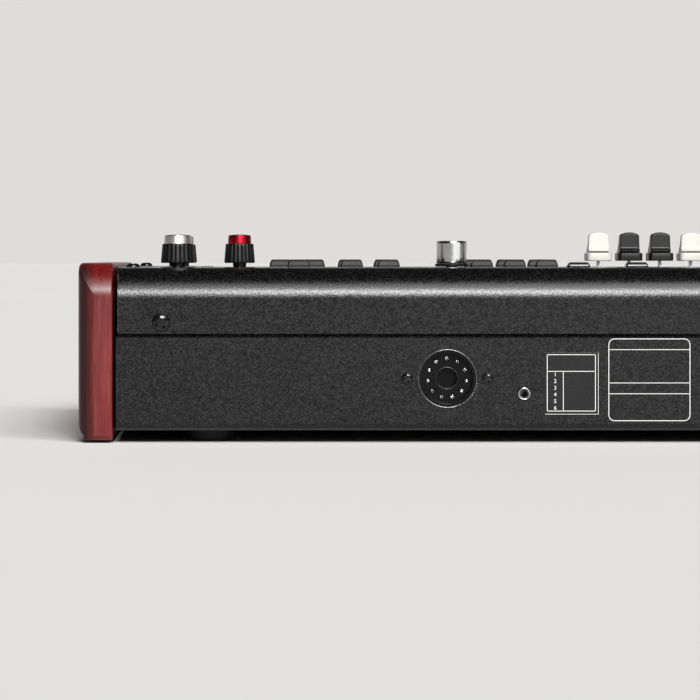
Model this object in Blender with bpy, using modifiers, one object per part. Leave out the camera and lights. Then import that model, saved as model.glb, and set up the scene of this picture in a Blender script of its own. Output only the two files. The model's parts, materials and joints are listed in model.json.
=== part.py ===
"""A portable drawbar organ with 61 keys. Metres, +Z up, +X to the player's right, +Y to the rear."""

import math

import bmesh
import bpy
from mathutils import Matrix, Vector

MM = 0.001

# Case
PANEL_DEPTH = 165 * MM
SEAT_GAP = 0.3 * MM
FOOT_HEIGHT = 6.4 * MM
FOOT_DIAMETER = 23.2 * MM
FOOT_FROM_END = 66.5 * MM
FOOT_FROM_EDGE = 30 * MM
FOOT_BEVEL = 1.5 * MM
FOOT_SIDES = 24
SHEET = 1.2 * MM
PANEL_HEIGHT = 88 * MM
SEAM_HEIGHT = 54.3 * MM
REAR_BEND_RADIUS = 16 * MM
FRONT_LIP_DROP = 12 * MM
FRONT_LIP_RADIUS = 3 * MM
PAN_CORNER_RADIUS = 3.5 * MM
LAP_HEIGHT = 12 * MM
PAN_FRONT_WALL = 28.4 * MM
SIDE_FLANGE_HEIGHT = 24 * MM
COVER_END_GAP = 1.3 * MM

# Wooden cheeks and the black woodwork round the keys
CHEEK_THICKNESS = 18 * MM
CHEEK_LOW = 1.5 * MM
CHEEK_PROUD = 2.2 * MM
CHEEK_TOP_RADIUS = 17 * MM
CHEEK_FOOT_RADIUS = 2.4 * MM
CHEEK_EDGE_ROUND = 9 * MM
RAIL_THICKNESS = 14 * MM
RAIL_DROP = 10 * MM
RAIL_ROUND = 5 * MM
RAIL_FOOT_ROUND = 1.5 * MM
KEY_BLOCK_WIDTH = 46.4 * MM
BLOCK_WALL = 4 * MM
BLOCK_FRONT_RADIUS = 12 * MM
BLOCK_KEY_GAP = 0.8 * MM

# Keyboard
KEY_PITCH = 23.5 * MM
OCTAVES = 5
NATURALS = 7
KEY_GAP = 1 * MM
KEY_NOSE_GAP = 1.5 * MM
KEY_VISIBLE = 149.5 * MM
KEY_DROP = 16 * MM
NATURAL_HEIGHT = 20 * MM
NATURAL_NOSE_RADIUS = 3 * MM
KEY_WALL = 2.5 * MM
TAIL_HEIGHT = 8 * MM
NATURAL_PIVOT_BACK = 38 * MM
BAR_HALF = 8 * MM
SHARP_WIDTH = 13.7 * MM
SHARP_CROWN_WIDTH = 9.6 * MM
SHARP_LENGTH = 96 * MM
SHARP_RISE = 11 * MM
SHARP_HEIGHT = 27 * MM
SHARP_NOSE_SLOPE = 6 * MM
SHARP_NOSE_BREAK = 4.2 * MM
SHARP_SHOULDER = 1.5 * MM
SHARP_SIDE_GAP = 0.6 * MM
SHARP_NOSE_GAP = 1.6 * MM
SHARP_BACK_GAP = 1.5 * MM
SHARP_TAIL_LIFT = 2 * MM
SHARP_TAIL_HEIGHT = 9 * MM
SHARP_TAIL_OVERLAP = 8 * MM
SHARP_TAIL_INSET = 0.8 * MM
SHARP_PIVOT_BACK = 59 * MM
SHARP_BAR_HALF = 7 * MM
BAR_PROUD = 0.5 * MM
NATURAL_LEDGE = 5 * MM
SHARP_SHIFTS = {1: -2.0 * MM, 2: 2.0 * MM, 4: -2.8 * MM, 5: 0.0, 6: 2.8 * MM}
FRAME_PLATE = 4 * MM
FRAME_PLATE_DROP = 14 * MM
RIDGE_HALF = 4 * MM
FRAME_INSET = 10 * MM
FRAME_REAR_MARGIN = 11 * MM

# Drawbars, treble end first
DRAWBAR_NAMES = ("1", "1_13", "1_35", "2", "2_23", "4", "8", "5_13", "16")
DRAWBAR_PITCH = 15.9 * MM
DRAWBAR_FROM_END = 266 * MM
DRAWBAR_FROM_REAR = 55 * MM
DRAWBAR_TRAVEL = 60 * MM
DRAWBAR_LIFT = 3.2 * MM
TAB_BASE = (12.9 * MM, 22 * MM, 4.1 * MM)
TAB_WIDTH = 10.6 * MM
TAB_TOP_WIDTH = 9.8 * MM
TAB_HEIGHT = 15.5 * MM
TAB_ARCH = 1.3 * MM
TAB_NECK = 3.4 * MM
TAB_FRONT_FOOT = 8.8 * MM
TAB_REAR_FOOT = 6.6 * MM
TAB_REAR_WAIST = 4.6 * MM
TAB_REAR_TOP = 3.3 * MM
TAB_FRONT_TOP = 0.9 * MM
TAB_SCOOP = 3.3 * MM
TAB_SCOOP_HEIGHT = 9.3 * MM
TAB_SLICES = 4
STEM = (1.2 * MM, 5 * MM)
STEM_CLEARANCE = 0.6 * MM
CARRIAGE = (9 * MM, 14 * MM, 3 * MM)

# Knobs: distance of the axis from its end of the case and from the rear face
KNOB_SIDES = 24
KNOB_FLUTE_DEPTH = 0.45 * MM
KNOB_NECK_HEIGHT = 1.8 * MM
KNOB_SKIRT_HEIGHT = 9.8 * MM
KNOB_CAP_HEIGHT = 4.8 * MM
KNOB_SHAFT_DIAMETER = 6 * MM
KNOB_HOLE_CLEARANCE = 0.7 * MM
SILVER_SKIRT = 17.4 * MM
SILVER_CAP = 14 * MM
SILVER_NECK = 8.8 * MM
RED_SKIRT = 15.7 * MM
RED_CAP = 11.9 * MM
RED_NECK = 6.8 * MM
KNOB_TAPER = 0.91
KNOB_CAP_TAPER = 0.96
KNOB_CAP_EDGE = 0.6 * MM
REAR_ROW_FROM_REAR = 35 * MM
FRONT_ROW_FROM_REAR = 135 * MM
END_KNOB_FROM_END = 49.5 * MM
SECOND_KNOB_FROM_END = 81 * MM
VIBRATO_KNOB_FROM_END = 90 * MM
ENCODER_FROM_END = 190.7 * MM
ENCODER_FROM_REAR = 60 * MM
ENCODER_DIAMETER = 15.9 * MM
ENCODER_HEIGHT = 11.8 * MM
ENCODER_FLANGE = 17.2 * MM
ENCODER_FLANGE_HEIGHT = 1.4 * MM

# Buttons
BUTTON_WIDTH = 11.4 * MM
BUTTON_DEPTH = 8.4 * MM
BUTTON_RISE = 3 * MM
BUTTON_CHAMFER = 1 * MM
BUTTON_CLEARANCE = 0.3 * MM
BUTTON_LIP = 1.3 * MM
BUTTON_LIP_THICKNESS = 1.5 * MM
BUTTON_STEM_HALF = 2 * MM
BUTTON_STEM_GAP = 2 * MM
NEAR_ROW_FROM_REAR = 40 * MM
FAR_ROW_FROM_REAR = 85 * MM
NEAR_BUTTONS_FROM_END = (111.1 * MM, 138.3 * MM, 157.1 * MM, 204.7 * MM, 221.5 * MM, 237.9 * MM)
FAR_STRIPS_FROM_END = {
    "effect_button_strip": (102.5 * MM, 120.0 * MM),
    "engine_button_strip": (138.3 * MM, 157.1 * MM),
    "preset_button_strip": (204.7 * MM, 221.5 * MM, 237.9 * MM),
}
LOW_BUTTONS_FROM_END = (252.6 * MM, 282.0 * MM)
LOW_BUTTONS_FROM_REAR = 23 * MM
LOW_BUTTON_RISE = 2 * MM
LEFT_STRIP_PITCH = 16.7 * MM
LEFT_STRIPS_FROM_LEFT = {"percussion_button_strip": 150 * MM, "vibrato_button_strip": 250 * MM}
LEFT_STRIP_CAPS = {"percussion_button_strip": 4, "vibrato_button_strip": 3}

# Display window
WINDOW_FROM_LEFT = 420 * MM
WINDOW_SIZE = (84 * MM, 34 * MM)
WINDOW_THICKNESS = 2.4 * MM
WINDOW_FROM_REAR = 62 * MM
WINDOW_LIP = 3 * MM
WINDOW_PROUD = 0.2 * MM

# Boards
BOARD = 1.6 * MM
CONTROL_BOARD_DROP = 10.2 * MM
CONTROL_BOARD_FRONT = 10 * MM
CONTROL_BOARD_REAR = 19 * MM
CONTROL_BOARD_END = 17 * MM
PILLAR_INSET = 6 * MM
PILLAR_DIAMETER = 6 * MM
PILLAR_SIDES = 8
PILLARS_FRONT_FROM_LEFT = (45 * MM, 330 * MM)
PILLARS_FRONT_FROM_END = (80 * MM, 190 * MM, 430 * MM)
PILLARS_REAR_FROM_LEFT = (40 * MM, 120 * MM, 330 * MM)
PILLARS_REAR_FROM_END = (62 * MM, 168 * MM, 430 * MM)
MAIN_BOARD_LENGTH = 200 * MM
MAIN_BOARD_GAP = 9 * MM
MAIN_BOARD_FROM_LEFT = 210 * MM
MAIN_BOARD_FROM_REAR = 30 * MM
MAIN_BOARD_HEIGHT = 18 * MM
CHIP_SIZE = (22 * MM, 22 * MM, 2.5 * MM)
CHIPS_FROM_LEFT = (50 * MM, 120 * MM)
SUPPLY_SIZE = (86 * MM, 48 * MM, 34 * MM)
SUPPLY_FROM_LEFT = 40 * MM
SUPPLY_GAP = 5 * MM
SUPPLY_VENTS = 6
VENT_WIDTH = 3 * MM
VENT_DEPTH = 2 * MM
VENT_MARGIN = 9.6 * MM

# Rear connectors: centre from the right-hand end, height above the surface that the feet stand on
ROTARY_FROM_END = 184.9 * MM
ROTARY_HEIGHT = 32.4 * MM
ROTARY_HOLE = 29.4 * MM
ROTARY_SIDES = 32
ROTARY_SET_IN = 0.6 * MM
ROTARY_BODY = 28.4 * MM
ROTARY_RECESS = 5 * MM
ROTARY_DEPTH = 20 * MM
ROTARY_FLANGE = (50 * MM, 32 * MM, 1.6 * MM)
ROTARY_RIM = 1.4 * MM
ROTARY_BORE = 10.7 * MM
ROTARY_BORE_DEPTH = 13 * MM
ROTARY_PINS = 11
ROTARY_PIN_CIRCLE = 19.4 * MM
ROTARY_PIN_HOLE = 2.6 * MM
ROTARY_PIN_DEPTH = 10 * MM
MINI_FROM_END = 223.3 * MM
MINI_HEIGHT = 24.8 * MM
MINI_BUSH = 6.4 * MM
MINI_BORE = 3.6 * MM
MINI_BORE_DEPTH = 14 * MM
MINI_BODY = (10 * MM, 15.5 * MM, 10 * MM)
HOLE_CLEARANCE = 0.3 * MM
JACK_ROW_HEIGHT = 32 * MM
JACKS_FROM_LEFT = (330 * MM, 354 * MM, 378 * MM, 402 * MM)
JACK_BUSH = 11 * MM
JACK_BORE = 6.6 * MM
JACK_BORE_DEPTH = 20 * MM
JACK_BODY = 16 * MM
DINS_FROM_LEFT = (250 * MM, 276 * MM)
DIN_FACE = 15.4 * MM
DIN_WELL = 13.2 * MM
DIN_WELL_DEPTH = 6 * MM
DIN_BODY = 18 * MM
USB_FROM_LEFT = 303 * MM
USB_FACE = (12 * MM, 10.9 * MM)
USB_WELL = (8.6 * MM, 7.8 * MM)
USB_WELL_DEPTH = 9 * MM
JACK_BOARD_FROM_REAR = 26 * MM
JACK_BOARD_MARGIN = 12 * MM
JACK_BOARD_LOW = 12 * MM
JACK_BOARD_TOP = 50 * MM
INLET_FROM_LEFT = 60 * MM
INLET_HEIGHT = 31 * MM
INLET_FACE = (30 * MM, 26 * MM)
INLET_WELL = (24 * MM, 17 * MM)
INLET_WELL_DEPTH = 15 * MM
INLET_BODY_DEPTH = 24 * MM
INLET_BLADE = (2 * MM, 4 * MM)
INLET_BLADE_LENGTH = 9 * MM
INLET_BLADE_SPACING = 7 * MM
INLET_CATCH = 1.5 * MM
SWITCH_FACE = (16 * MM, 26 * MM)
SWITCH_WELL = (11 * MM, 21 * MM)
SWITCH_WELL_DEPTH = 9 * MM
ROCKER_CLEARANCE = 0.5 * MM
ROCKER_THROW = 14
ROCKER_FACE = 3.4 * MM
ROCKER_DISH = 1.2 * MM
ROCKER_BACK = 2.5 * MM
ROCKER_BACK_HALF = 6 * MM
ROCKER_SETBACK = 4.8 * MM

# Places worked out from the sizes above
KEYS_HALF = (OCTAVES * NATURALS + 1) * KEY_PITCH / 2
BLOCK_OUTER_X = KEYS_HALF + BLOCK_KEY_GAP + KEY_BLOCK_WIDTH
INNER_X = BLOCK_OUTER_X + SHEET + 2 * SEAT_GAP
HALF_WIDTH = INNER_X + CHEEK_THICKNESS
DEPTH = RAIL_THICKNESS + KEY_NOSE_GAP + KEY_VISIBLE + PANEL_DEPTH
REAR = DEPTH / 2
FRONT = -DEPTH / 2
CHEEK_TOP = PANEL_HEIGHT + CHEEK_PROUD
NATURAL_TOP = PANEL_HEIGHT - KEY_DROP
RAIL_TOP = NATURAL_TOP - RAIL_DROP
FLOOR_TOP = FOOT_HEIGHT + SHEET
PANEL_UNDERSIDE = PANEL_HEIGHT - SHEET
WALL_INSIDE = REAR - SHEET
KEY_FRONT = FRONT + RAIL_THICKNESS + KEY_NOSE_GAP
PANEL_FRONT = KEY_FRONT + KEY_VISIBLE
NATURAL_LOW = NATURAL_TOP - NATURAL_HEIGHT
TAIL_TOP = NATURAL_LOW + TAIL_HEIGHT
SHARP_TOP = NATURAL_TOP + SHARP_RISE
SHARP_LOW = SHARP_TOP - SHARP_HEIGHT
SHARP_BACK = PANEL_FRONT - SHARP_BACK_GAP
SHARP_FRONT = SHARP_BACK - SHARP_LENGTH
SHARP_TAIL_LOW = TAIL_TOP + SHARP_TAIL_LIFT
NATURAL_PIVOT = PANEL_FRONT + NATURAL_PIVOT_BACK
SHARP_PIVOT = PANEL_FRONT + SHARP_PIVOT_BACK
KEY_FRAME_REAR = SHARP_PIVOT + FRAME_REAR_MARGIN
OCTAVE_WIDTH = NATURALS * KEY_PITCH
CONTROL_BOARD_LOW = PANEL_HEIGHT - CONTROL_BOARD_DROP - BOARD
CONTROL_BOARD_TOP = CONTROL_BOARD_LOW + BOARD
PAN_FRONT = FRONT + RAIL_THICKNESS + SEAT_GAP
RAIL_LOW = FOOT_HEIGHT
DRAWBAR_Y = REAR - DRAWBAR_FROM_REAR
DRAWBAR_XS = [HALF_WIDTH - DRAWBAR_FROM_END - index * DRAWBAR_PITCH for index in range(len(DRAWBAR_NAMES))]
ENCODER_PLACE = (HALF_WIDTH - ENCODER_FROM_END, REAR - ENCODER_FROM_REAR)
WINDOW_PLACE = (WINDOW_FROM_LEFT - HALF_WIDTH, REAR - WINDOW_FROM_REAR)
INLET_MIDDLE = INLET_FROM_LEFT + SWITCH_FACE[0] / 2 - HALF_WIDTH
SWITCH_X = INLET_FROM_LEFT + (INLET_FACE[0] + SWITCH_FACE[0]) / 2 - HALF_WIDTH

# How finely round shapes are cut, and how far a cutter runs past what it cuts
ARC_STEPS = 6
ROUND_SIDES = 16
BORE_SIDES = 12
PIN_HOLE_SIDES = 8
OVERSHOOT = 2 * MM

# Finishes: colour, metallic, roughness
FINISHES = {
    "black_coat": ((0.020, 0.020, 0.021), 0.3, 0.45),
    "red_wood": ((0.160, 0.030, 0.026), 0.0, 0.30),
    "black_plastic": ((0.016, 0.016, 0.017), 0.0, 0.40),
    "white_key": ((0.84, 0.82, 0.76), 0.0, 0.22),
    "black_key": ((0.012, 0.012, 0.013), 0.0, 0.28),
    "rubber": ((0.018, 0.018, 0.018), 0.0, 0.80),
    "silver_cap": ((0.72, 0.72, 0.73), 1.0, 0.28),
    "red_cap": ((0.420, 0.006, 0.018), 1.0, 0.30),
    "steel": ((0.62, 0.62, 0.63), 1.0, 0.25),
    "zinc": ((0.50, 0.51, 0.52), 1.0, 0.45),
    "board": ((0.020, 0.120, 0.050), 0.0, 0.50),
    "window": ((0.010, 0.012, 0.016), 0.0, 0.08),
    "brown_tab": ((0.140, 0.052, 0.028), 0.0, 0.35),
}


def from_right(distance):
    return HALF_WIDTH - distance


def from_left(distance):
    return distance - HALF_WIDTH


def from_rear(distance):
    return REAR - distance


SILVER = (SILVER_SKIRT, SILVER_CAP, SILVER_NECK, "silver_cap")
RED = (RED_SKIRT, RED_CAP, RED_NECK, "red_cap")
REAR_ROW = from_rear(REAR_ROW_FROM_REAR)
KNOBS = (
    ("reverb_knob", from_right(END_KNOB_FROM_END), REAR_ROW, *SILVER),
    ("tone_knob", from_right(END_KNOB_FROM_END), from_rear(FRONT_ROW_FROM_REAR), *SILVER),
    ("overdrive_knob", from_right(SECOND_KNOB_FROM_END), REAR_ROW, *RED),
    ("volume_knob", from_left(END_KNOB_FROM_END), REAR_ROW, *SILVER),
    ("vibrato_knob", from_left(VIBRATO_KNOB_FROM_END), REAR_ROW, *SILVER),
)


def button_places():
    """Name, x, y and rise of each button that stands alone."""
    places = []
    for index, distance in enumerate(NEAR_BUTTONS_FROM_END):
        name = f"button_{index + 1}"
        places.append((name, from_right(distance), from_rear(NEAR_ROW_FROM_REAR), BUTTON_RISE))
    for index, distance in enumerate(LOW_BUTTONS_FROM_END):
        name = f"low_button_{index + 1}"
        places.append((name, from_right(distance), from_rear(LOW_BUTTONS_FROM_REAR), LOW_BUTTON_RISE))
    return places


def strip_places():
    """The x of each cap, and the y of the row, for each strip of buttons moulded as one."""
    places = {}
    for name, distances in FAR_STRIPS_FROM_END.items():
        places[name] = ([from_right(distance) for distance in distances], from_rear(FAR_ROW_FROM_REAR))
    for name, first in LEFT_STRIPS_FROM_LEFT.items():
        xs = [from_left(first + index * LEFT_STRIP_PITCH) for index in range(LEFT_STRIP_CAPS[name])]
        places[name] = (xs, from_rear(NEAR_ROW_FROM_REAR))
    return places


BUTTONS = button_places()
BUTTON_STRIPS = strip_places()
DRAWBAR_FINISHES = (
    "white_key",
    "black_key",
    "black_key",
    "white_key",
    "black_key",
    "white_key",
    "white_key",
    "brown_tab",
    "brown_tab",
)


def clear_scene():
    for obj in list(bpy.data.objects):
        bpy.data.objects.remove(obj, do_unlink=True)


def new_collection(name):
    collection = bpy.data.collections.new(name)
    bpy.context.scene.collection.children.link(collection)
    return collection


clear_scene()
ORGAN = new_collection("electronic_organ")
CUTTERS = new_collection("cutters")


def finish(name, finish_name):
    colour, metallic, roughness = FINISHES[finish_name]
    material = bpy.data.materials.new(name + "_" + finish_name)
    material.use_nodes = True
    shader = material.node_tree.nodes["Principled BSDF"]
    shader.inputs["Base Color"].default_value = (*colour, 1.0)
    shader.inputs["Metallic"].default_value = metallic
    shader.inputs["Roughness"].default_value = roughness
    return material


def to_mesh(bm, name):
    mesh = bpy.data.meshes.new(name)
    bmesh.ops.recalc_face_normals(bm, faces=bm.faces)
    bm.to_mesh(mesh)
    bm.free()
    return mesh


def piece(name, mesh, finish_name, location=(0, 0, 0)):
    """One named sub-part, with its own material."""
    obj = bpy.data.objects.new(name, mesh)
    obj.location = location
    obj.data.materials.append(finish(name, finish_name))
    ORGAN.objects.link(obj)
    return obj


def helper(name, mesh):
    """A cutter or a core that another piece is cut by or joined to."""
    obj = bpy.data.objects.new(name, mesh)
    obj.hide_render = True
    obj.display_type = "WIRE"
    CUTTERS.objects.link(obj)
    return obj


def boolean(target, operation, name, mesh):
    other = helper(f"{target.name}_{name}", mesh)
    other.parent = target
    modifier = target.modifiers.new(name, "BOOLEAN")
    modifier.operation = operation
    modifier.solver = "EXACT"
    modifier.object = other


def cut(target, name, mesh):
    boolean(target, "DIFFERENCE", name, mesh)


def join(target, name, mesh):
    boolean(target, "UNION", name, mesh)


def evaluated_mesh(obj):
    graph = bpy.context.evaluated_depsgraph_get()
    return bpy.data.meshes.new_from_object(obj.evaluated_get(graph))


def add_box(bm, low, high):
    low = Vector(low)
    size = Vector(high) - low
    place = Matrix.Translation(low + size / 2) @ Matrix.Diagonal((*size, 1))
    bmesh.ops.create_cube(bm, size=1, matrix=place)


def add_centred_box(bm, centre, size):
    half = Vector(size) / 2
    add_box(bm, Vector(centre) - half, Vector(centre) + half)


def boxes(name, *corners):
    bm = bmesh.new()
    for low, high in corners:
        add_box(bm, low, high)
    return to_mesh(bm, name)


TURNS = {"X": Matrix.Rotation(math.pi / 2, 4, "Y"), "Y": Matrix.Rotation(math.pi / 2, 4, "X"), "Z": Matrix()}


def add_cylinder(bm, start, length, diameter, axis="Z", sides=ROUND_SIDES):
    """A cylinder that runs from its start point along an axis; a negative length runs the other way."""
    direction = Vector([length if letter == axis else 0 for letter in "XYZ"])
    place = Matrix.Translation(Vector(start) + direction / 2) @ TURNS[axis]
    half = diameter / 2
    bmesh.ops.create_cone(
        bm, cap_ends=True, segments=sides, radius1=half, radius2=half, depth=abs(length), matrix=place
    )


def cylinder(name, start, length, diameter, axis="Z", sides=ROUND_SIDES):
    bm = bmesh.new()
    add_cylinder(bm, start, length, diameter, axis, sides)
    return to_mesh(bm, name)


def rounded(corners):
    """Points of an outline whose corners (u, v, radius) are rounded by arcs; a path's ends have no radius."""
    points = []
    for index, (u, v, radius) in enumerate(corners):
        if radius == 0:
            points.append(Vector((u, v)))
            continue
        corner = Vector((u, v))
        before = (Vector(corners[index - 1][:2]) - corner).normalized()
        after = (Vector(corners[(index + 1) % len(corners)][:2]) - corner).normalized()
        half_angle = before.angle(after) / 2
        centre = corner + (before + after).normalized() * radius / math.sin(half_angle)
        reach = radius / math.tan(half_angle)
        first = corner + before * reach - centre
        turn = first.angle_signed(corner + after * reach - centre)
        for step in range(ARC_STEPS + 1):
            angle = -turn * step / ARC_STEPS
            points.append(centre + Matrix.Rotation(angle, 2) @ first)
    return points


# Where an outline's two directions and its thickness go, for a solid that is extruded along each axis
OUTLINE_PLACES = {
    "X": ((0, 0, 1), (1, 0, 0), (0, 1, 0)),
    "Y": ((1, 0, 0), (0, 0, 1), (0, 1, 0)),
    "Z": ((1, 0, 0), (0, 1, 0), (0, 0, 1)),
}


def prism(name, corners, low, high, axis="X"):
    """A rounded outline extruded along an axis: it lies in Y and Z for X, in X and Z for Y, in X and Y for Z."""
    curve = bpy.data.curves.new(name, "CURVE")
    curve.dimensions = "2D"
    curve.fill_mode = "BOTH"
    curve.extrude = (high - low) / 2
    points = rounded(corners)
    spline = curve.splines.new("POLY")
    spline.points.add(len(points) - 1)
    for target, point in zip(spline.points, points):
        target.co = (point.x, point.y, 0, 1)
    spline.use_cyclic_u = True
    flat = bpy.data.objects.new(name, curve)
    CUTTERS.objects.link(flat)
    mesh = evaluated_mesh(flat)
    bpy.data.objects.remove(flat)
    bm = bmesh.new()
    bm.from_mesh(mesh)
    bpy.data.meshes.remove(mesh)
    bmesh.ops.remove_doubles(bm, verts=bm.verts, dist=0.00001)
    along = Matrix(OUTLINE_PLACES[axis]).to_4x4()
    middle = Vector([(low + high) / 2 if letter == axis else 0 for letter in "XYZ"])
    bmesh.ops.transform(bm, matrix=Matrix.Translation(middle) @ along, verts=bm.verts)
    return to_mesh(bm, name)


def bent_sheet(name, corners, x_low, x_high, facing):
    """An open sheet along a path in Y and Z, whose widest face looks the given way."""
    bm = bmesh.new()
    points = [bm.verts.new((x_low, point.x, point.y)) for point in rounded(corners)]
    edges = [bm.edges.new(pair) for pair in zip(points, points[1:])]
    grown = bmesh.ops.extrude_edge_only(bm, edges=edges)["geom"]
    moved = [item for item in grown if isinstance(item, bmesh.types.BMVert)]
    bmesh.ops.translate(bm, verts=moved, vec=(x_high - x_low, 0, 0))
    bm.normal_update()
    widest = max(bm.faces, key=lambda face: face.calc_area())
    if widest.normal.dot(Vector(facing)) < 0:
        bmesh.ops.reverse_faces(bm, faces=bm.faces)
    mesh = bpy.data.meshes.new(name)
    bm.to_mesh(mesh)
    bm.free()
    return mesh


def thicken(obj):
    solid = obj.modifiers.new("sheet", "SOLIDIFY")
    solid.thickness = SHEET
    solid.offset = -1
    solid.use_even_offset = True


def loft(name, rings):
    """One closed solid through rings of points, bottom to top."""
    bm = bmesh.new()
    loops = [[bm.verts.new(point) for point in ring] for ring in rings]
    for low, high in zip(loops, loops[1:]):
        for index, corner in enumerate(low):
            following = (index + 1) % len(low)
            bm.faces.new((corner, low[following], high[following], high[index]))
    bm.faces.new(loops[0])
    bm.faces.new(loops[-1])
    return to_mesh(bm, name)


def round_ring(height, diameter, sides, flute=0.0):
    """Points of a circle, with every second one drawn in by the depth of a flute."""
    points = []
    for index in range(sides):
        reach = diameter / 2 - (flute if index % 2 else 0)
        angle = math.tau * index / sides
        points.append((reach * math.cos(angle), reach * math.sin(angle), height))
    return points


def box_ring(height, half_x, half_y, centre=(0, 0)):
    x, y = centre
    corners = ((-half_x, -half_y), (half_x, -half_y), (half_x, half_y), (-half_x, half_y))
    return [(x + across, y + along, height) for across, along in corners]


def turned(obj, sides):
    """Turns a profile in the XZ plane, drawn from its top down, about the object's own Z axis."""
    screw = obj.modifiers.new("turn", "SCREW")
    screw.axis = "Z"
    screw.angle = math.tau
    screw.steps = sides
    screw.render_steps = sides
    screw.use_merge_vertices = True
    screw.merge_threshold = 0.00001


def line_mesh(name, points):
    mesh = bpy.data.meshes.new(name)
    edges = [(index, index + 1) for index in range(len(points) - 1)]
    mesh.from_pydata([(radius, 0, height) for radius, height in points], edges, [])
    return mesh


# Case


def build_feet():
    radius = FOOT_DIAMETER / 2
    top = FOOT_HEIGHT - SEAT_GAP
    bevel = FOOT_BEVEL
    profile = [(0, top), (radius, top), (radius, bevel), (radius - bevel, 0), (0, 0)]
    for side, x in (("left", from_left(FOOT_FROM_END)), ("right", from_right(FOOT_FROM_END))):
        for end, y in (("front", FRONT + FOOT_FROM_EDGE), ("rear", REAR - FOOT_FROM_EDGE)):
            name = f"foot_{end}_{side}"
            foot = piece(name, line_mesh(name, profile), "rubber", (x, y, 0))
            turned(foot, FOOT_SIDES)


def connector_holes():
    """Cutter for the rear wall: one hole for each connector that is mounted in it."""
    bm = bmesh.new()
    start = REAR + OVERSHOOT
    through = -(SHEET + 2 * OVERSHOOT)
    gap = 2 * HOLE_CLEARANCE
    rotary = (from_right(ROTARY_FROM_END), start, ROTARY_HEIGHT)
    add_cylinder(bm, rotary, through, ROTARY_HOLE, "Y", ROTARY_SIDES)
    add_cylinder(bm, (from_right(MINI_FROM_END), start, MINI_HEIGHT), through, MINI_BUSH + gap, "Y")
    for distance in JACKS_FROM_LEFT:
        add_cylinder(bm, (from_left(distance), start, JACK_ROW_HEIGHT), through, JACK_BUSH + gap, "Y")
    for distance in DINS_FROM_LEFT:
        add_cylinder(bm, (from_left(distance), start, JACK_ROW_HEIGHT), through, DIN_FACE + gap, "Y")
    middle = REAR - SHEET / 2
    usb_size = (USB_FACE[0] + gap, SHEET + 2 * OVERSHOOT, USB_FACE[1] + gap)
    add_centred_box(bm, (from_left(USB_FROM_LEFT), middle, JACK_ROW_HEIGHT), usb_size)
    inlet_size = (INLET_FACE[0] + SWITCH_FACE[0] + gap, SHEET + 2 * OVERSHOOT, INLET_FACE[1] + gap)
    add_centred_box(bm, (INLET_MIDDLE, middle, INLET_HEIGHT), inlet_size)
    return to_mesh(bm, "connector_holes")


def build_bottom_pan():
    edge = INNER_X - SEAT_GAP
    lap = WALL_INSIDE - SEAT_GAP
    path = [
        (PAN_FRONT, FOOT_HEIGHT + PAN_FRONT_WALL, 0),
        (PAN_FRONT, FOOT_HEIGHT, PAN_CORNER_RADIUS),
        (REAR, FOOT_HEIGHT, PAN_CORNER_RADIUS),
        (REAR, SEAM_HEIGHT - (REAR - lap), 0),
        (lap, SEAM_HEIGHT, 0),
        (lap, SEAM_HEIGHT + LAP_HEIGHT, 0),
    ]
    pan = piece("bottom_pan", bent_sheet("bottom_pan", path, -edge, edge, (0, 0, -1)), "black_coat")
    thicken(pan)
    front = PAN_FRONT + PAN_CORNER_RADIUS
    rear = REAR - PAN_CORNER_RADIUS
    low = FOOT_HEIGHT + SHEET / 2
    top = FOOT_HEIGHT + SIDE_FLANGE_HEIGHT
    left = ((-edge, front, low), (-edge + SHEET, rear, top))
    right = ((edge - SHEET, front, low), (edge, rear, top))
    join(pan, "side_flanges", boxes("side_flanges", left, right))
    cut(pan, "connector_holes", connector_holes())


def panel_openings():
    """Cutter for the panel: drawbar slots, knob holes, button windows and the display's window."""
    bm = bmesh.new()
    middle = PANEL_HEIGHT - SHEET / 2
    tall = SHEET + 2 * OVERSHOOT
    for x in DRAWBAR_XS:
        low_y = DRAWBAR_Y - DRAWBAR_TRAVEL - STEM[1] / 2 - STEM_CLEARANCE
        high_y = DRAWBAR_Y + STEM[1] / 2 + STEM_CLEARANCE
        size = (STEM[0] + 2 * STEM_CLEARANCE, high_y - low_y, tall)
        add_centred_box(bm, (x, (low_y + high_y) / 2, middle), size)
    hole = KNOB_SHAFT_DIAMETER + 2 * KNOB_HOLE_CLEARANCE
    for x, y in [(knob[1], knob[2]) for knob in KNOBS] + [ENCODER_PLACE]:
        add_cylinder(bm, (x, y, middle - tall / 2), tall, hole)
    button = (BUTTON_WIDTH + 2 * BUTTON_CLEARANCE, BUTTON_DEPTH + 2 * BUTTON_CLEARANCE, tall)
    for _, x, y, _ in BUTTONS:
        add_centred_box(bm, (x, y, middle), button)
    for xs, y in BUTTON_STRIPS.values():
        for x in xs:
            add_centred_box(bm, (x, y, middle), button)
    window = (WINDOW_SIZE[0] + 2 * HOLE_CLEARANCE, WINDOW_SIZE[1] + 2 * HOLE_CLEARANCE, tall)
    add_centred_box(bm, (*WINDOW_PLACE, middle), window)
    return to_mesh(bm, "panel_openings")


def build_top_cover():
    edge = INNER_X - COVER_END_GAP
    path = [
        (REAR, SEAM_HEIGHT + SEAT_GAP, 0),
        (REAR, PANEL_HEIGHT, REAR_BEND_RADIUS),
        (PANEL_FRONT, PANEL_HEIGHT, FRONT_LIP_RADIUS),
        (PANEL_FRONT, PANEL_HEIGHT - FRONT_LIP_DROP, 0),
    ]
    cover = piece("top_cover", bent_sheet("top_cover", path, -edge, edge, (0, 0, 1)), "black_coat")
    thicken(cover)
    cut(cover, "panel_openings", panel_openings())


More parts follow.
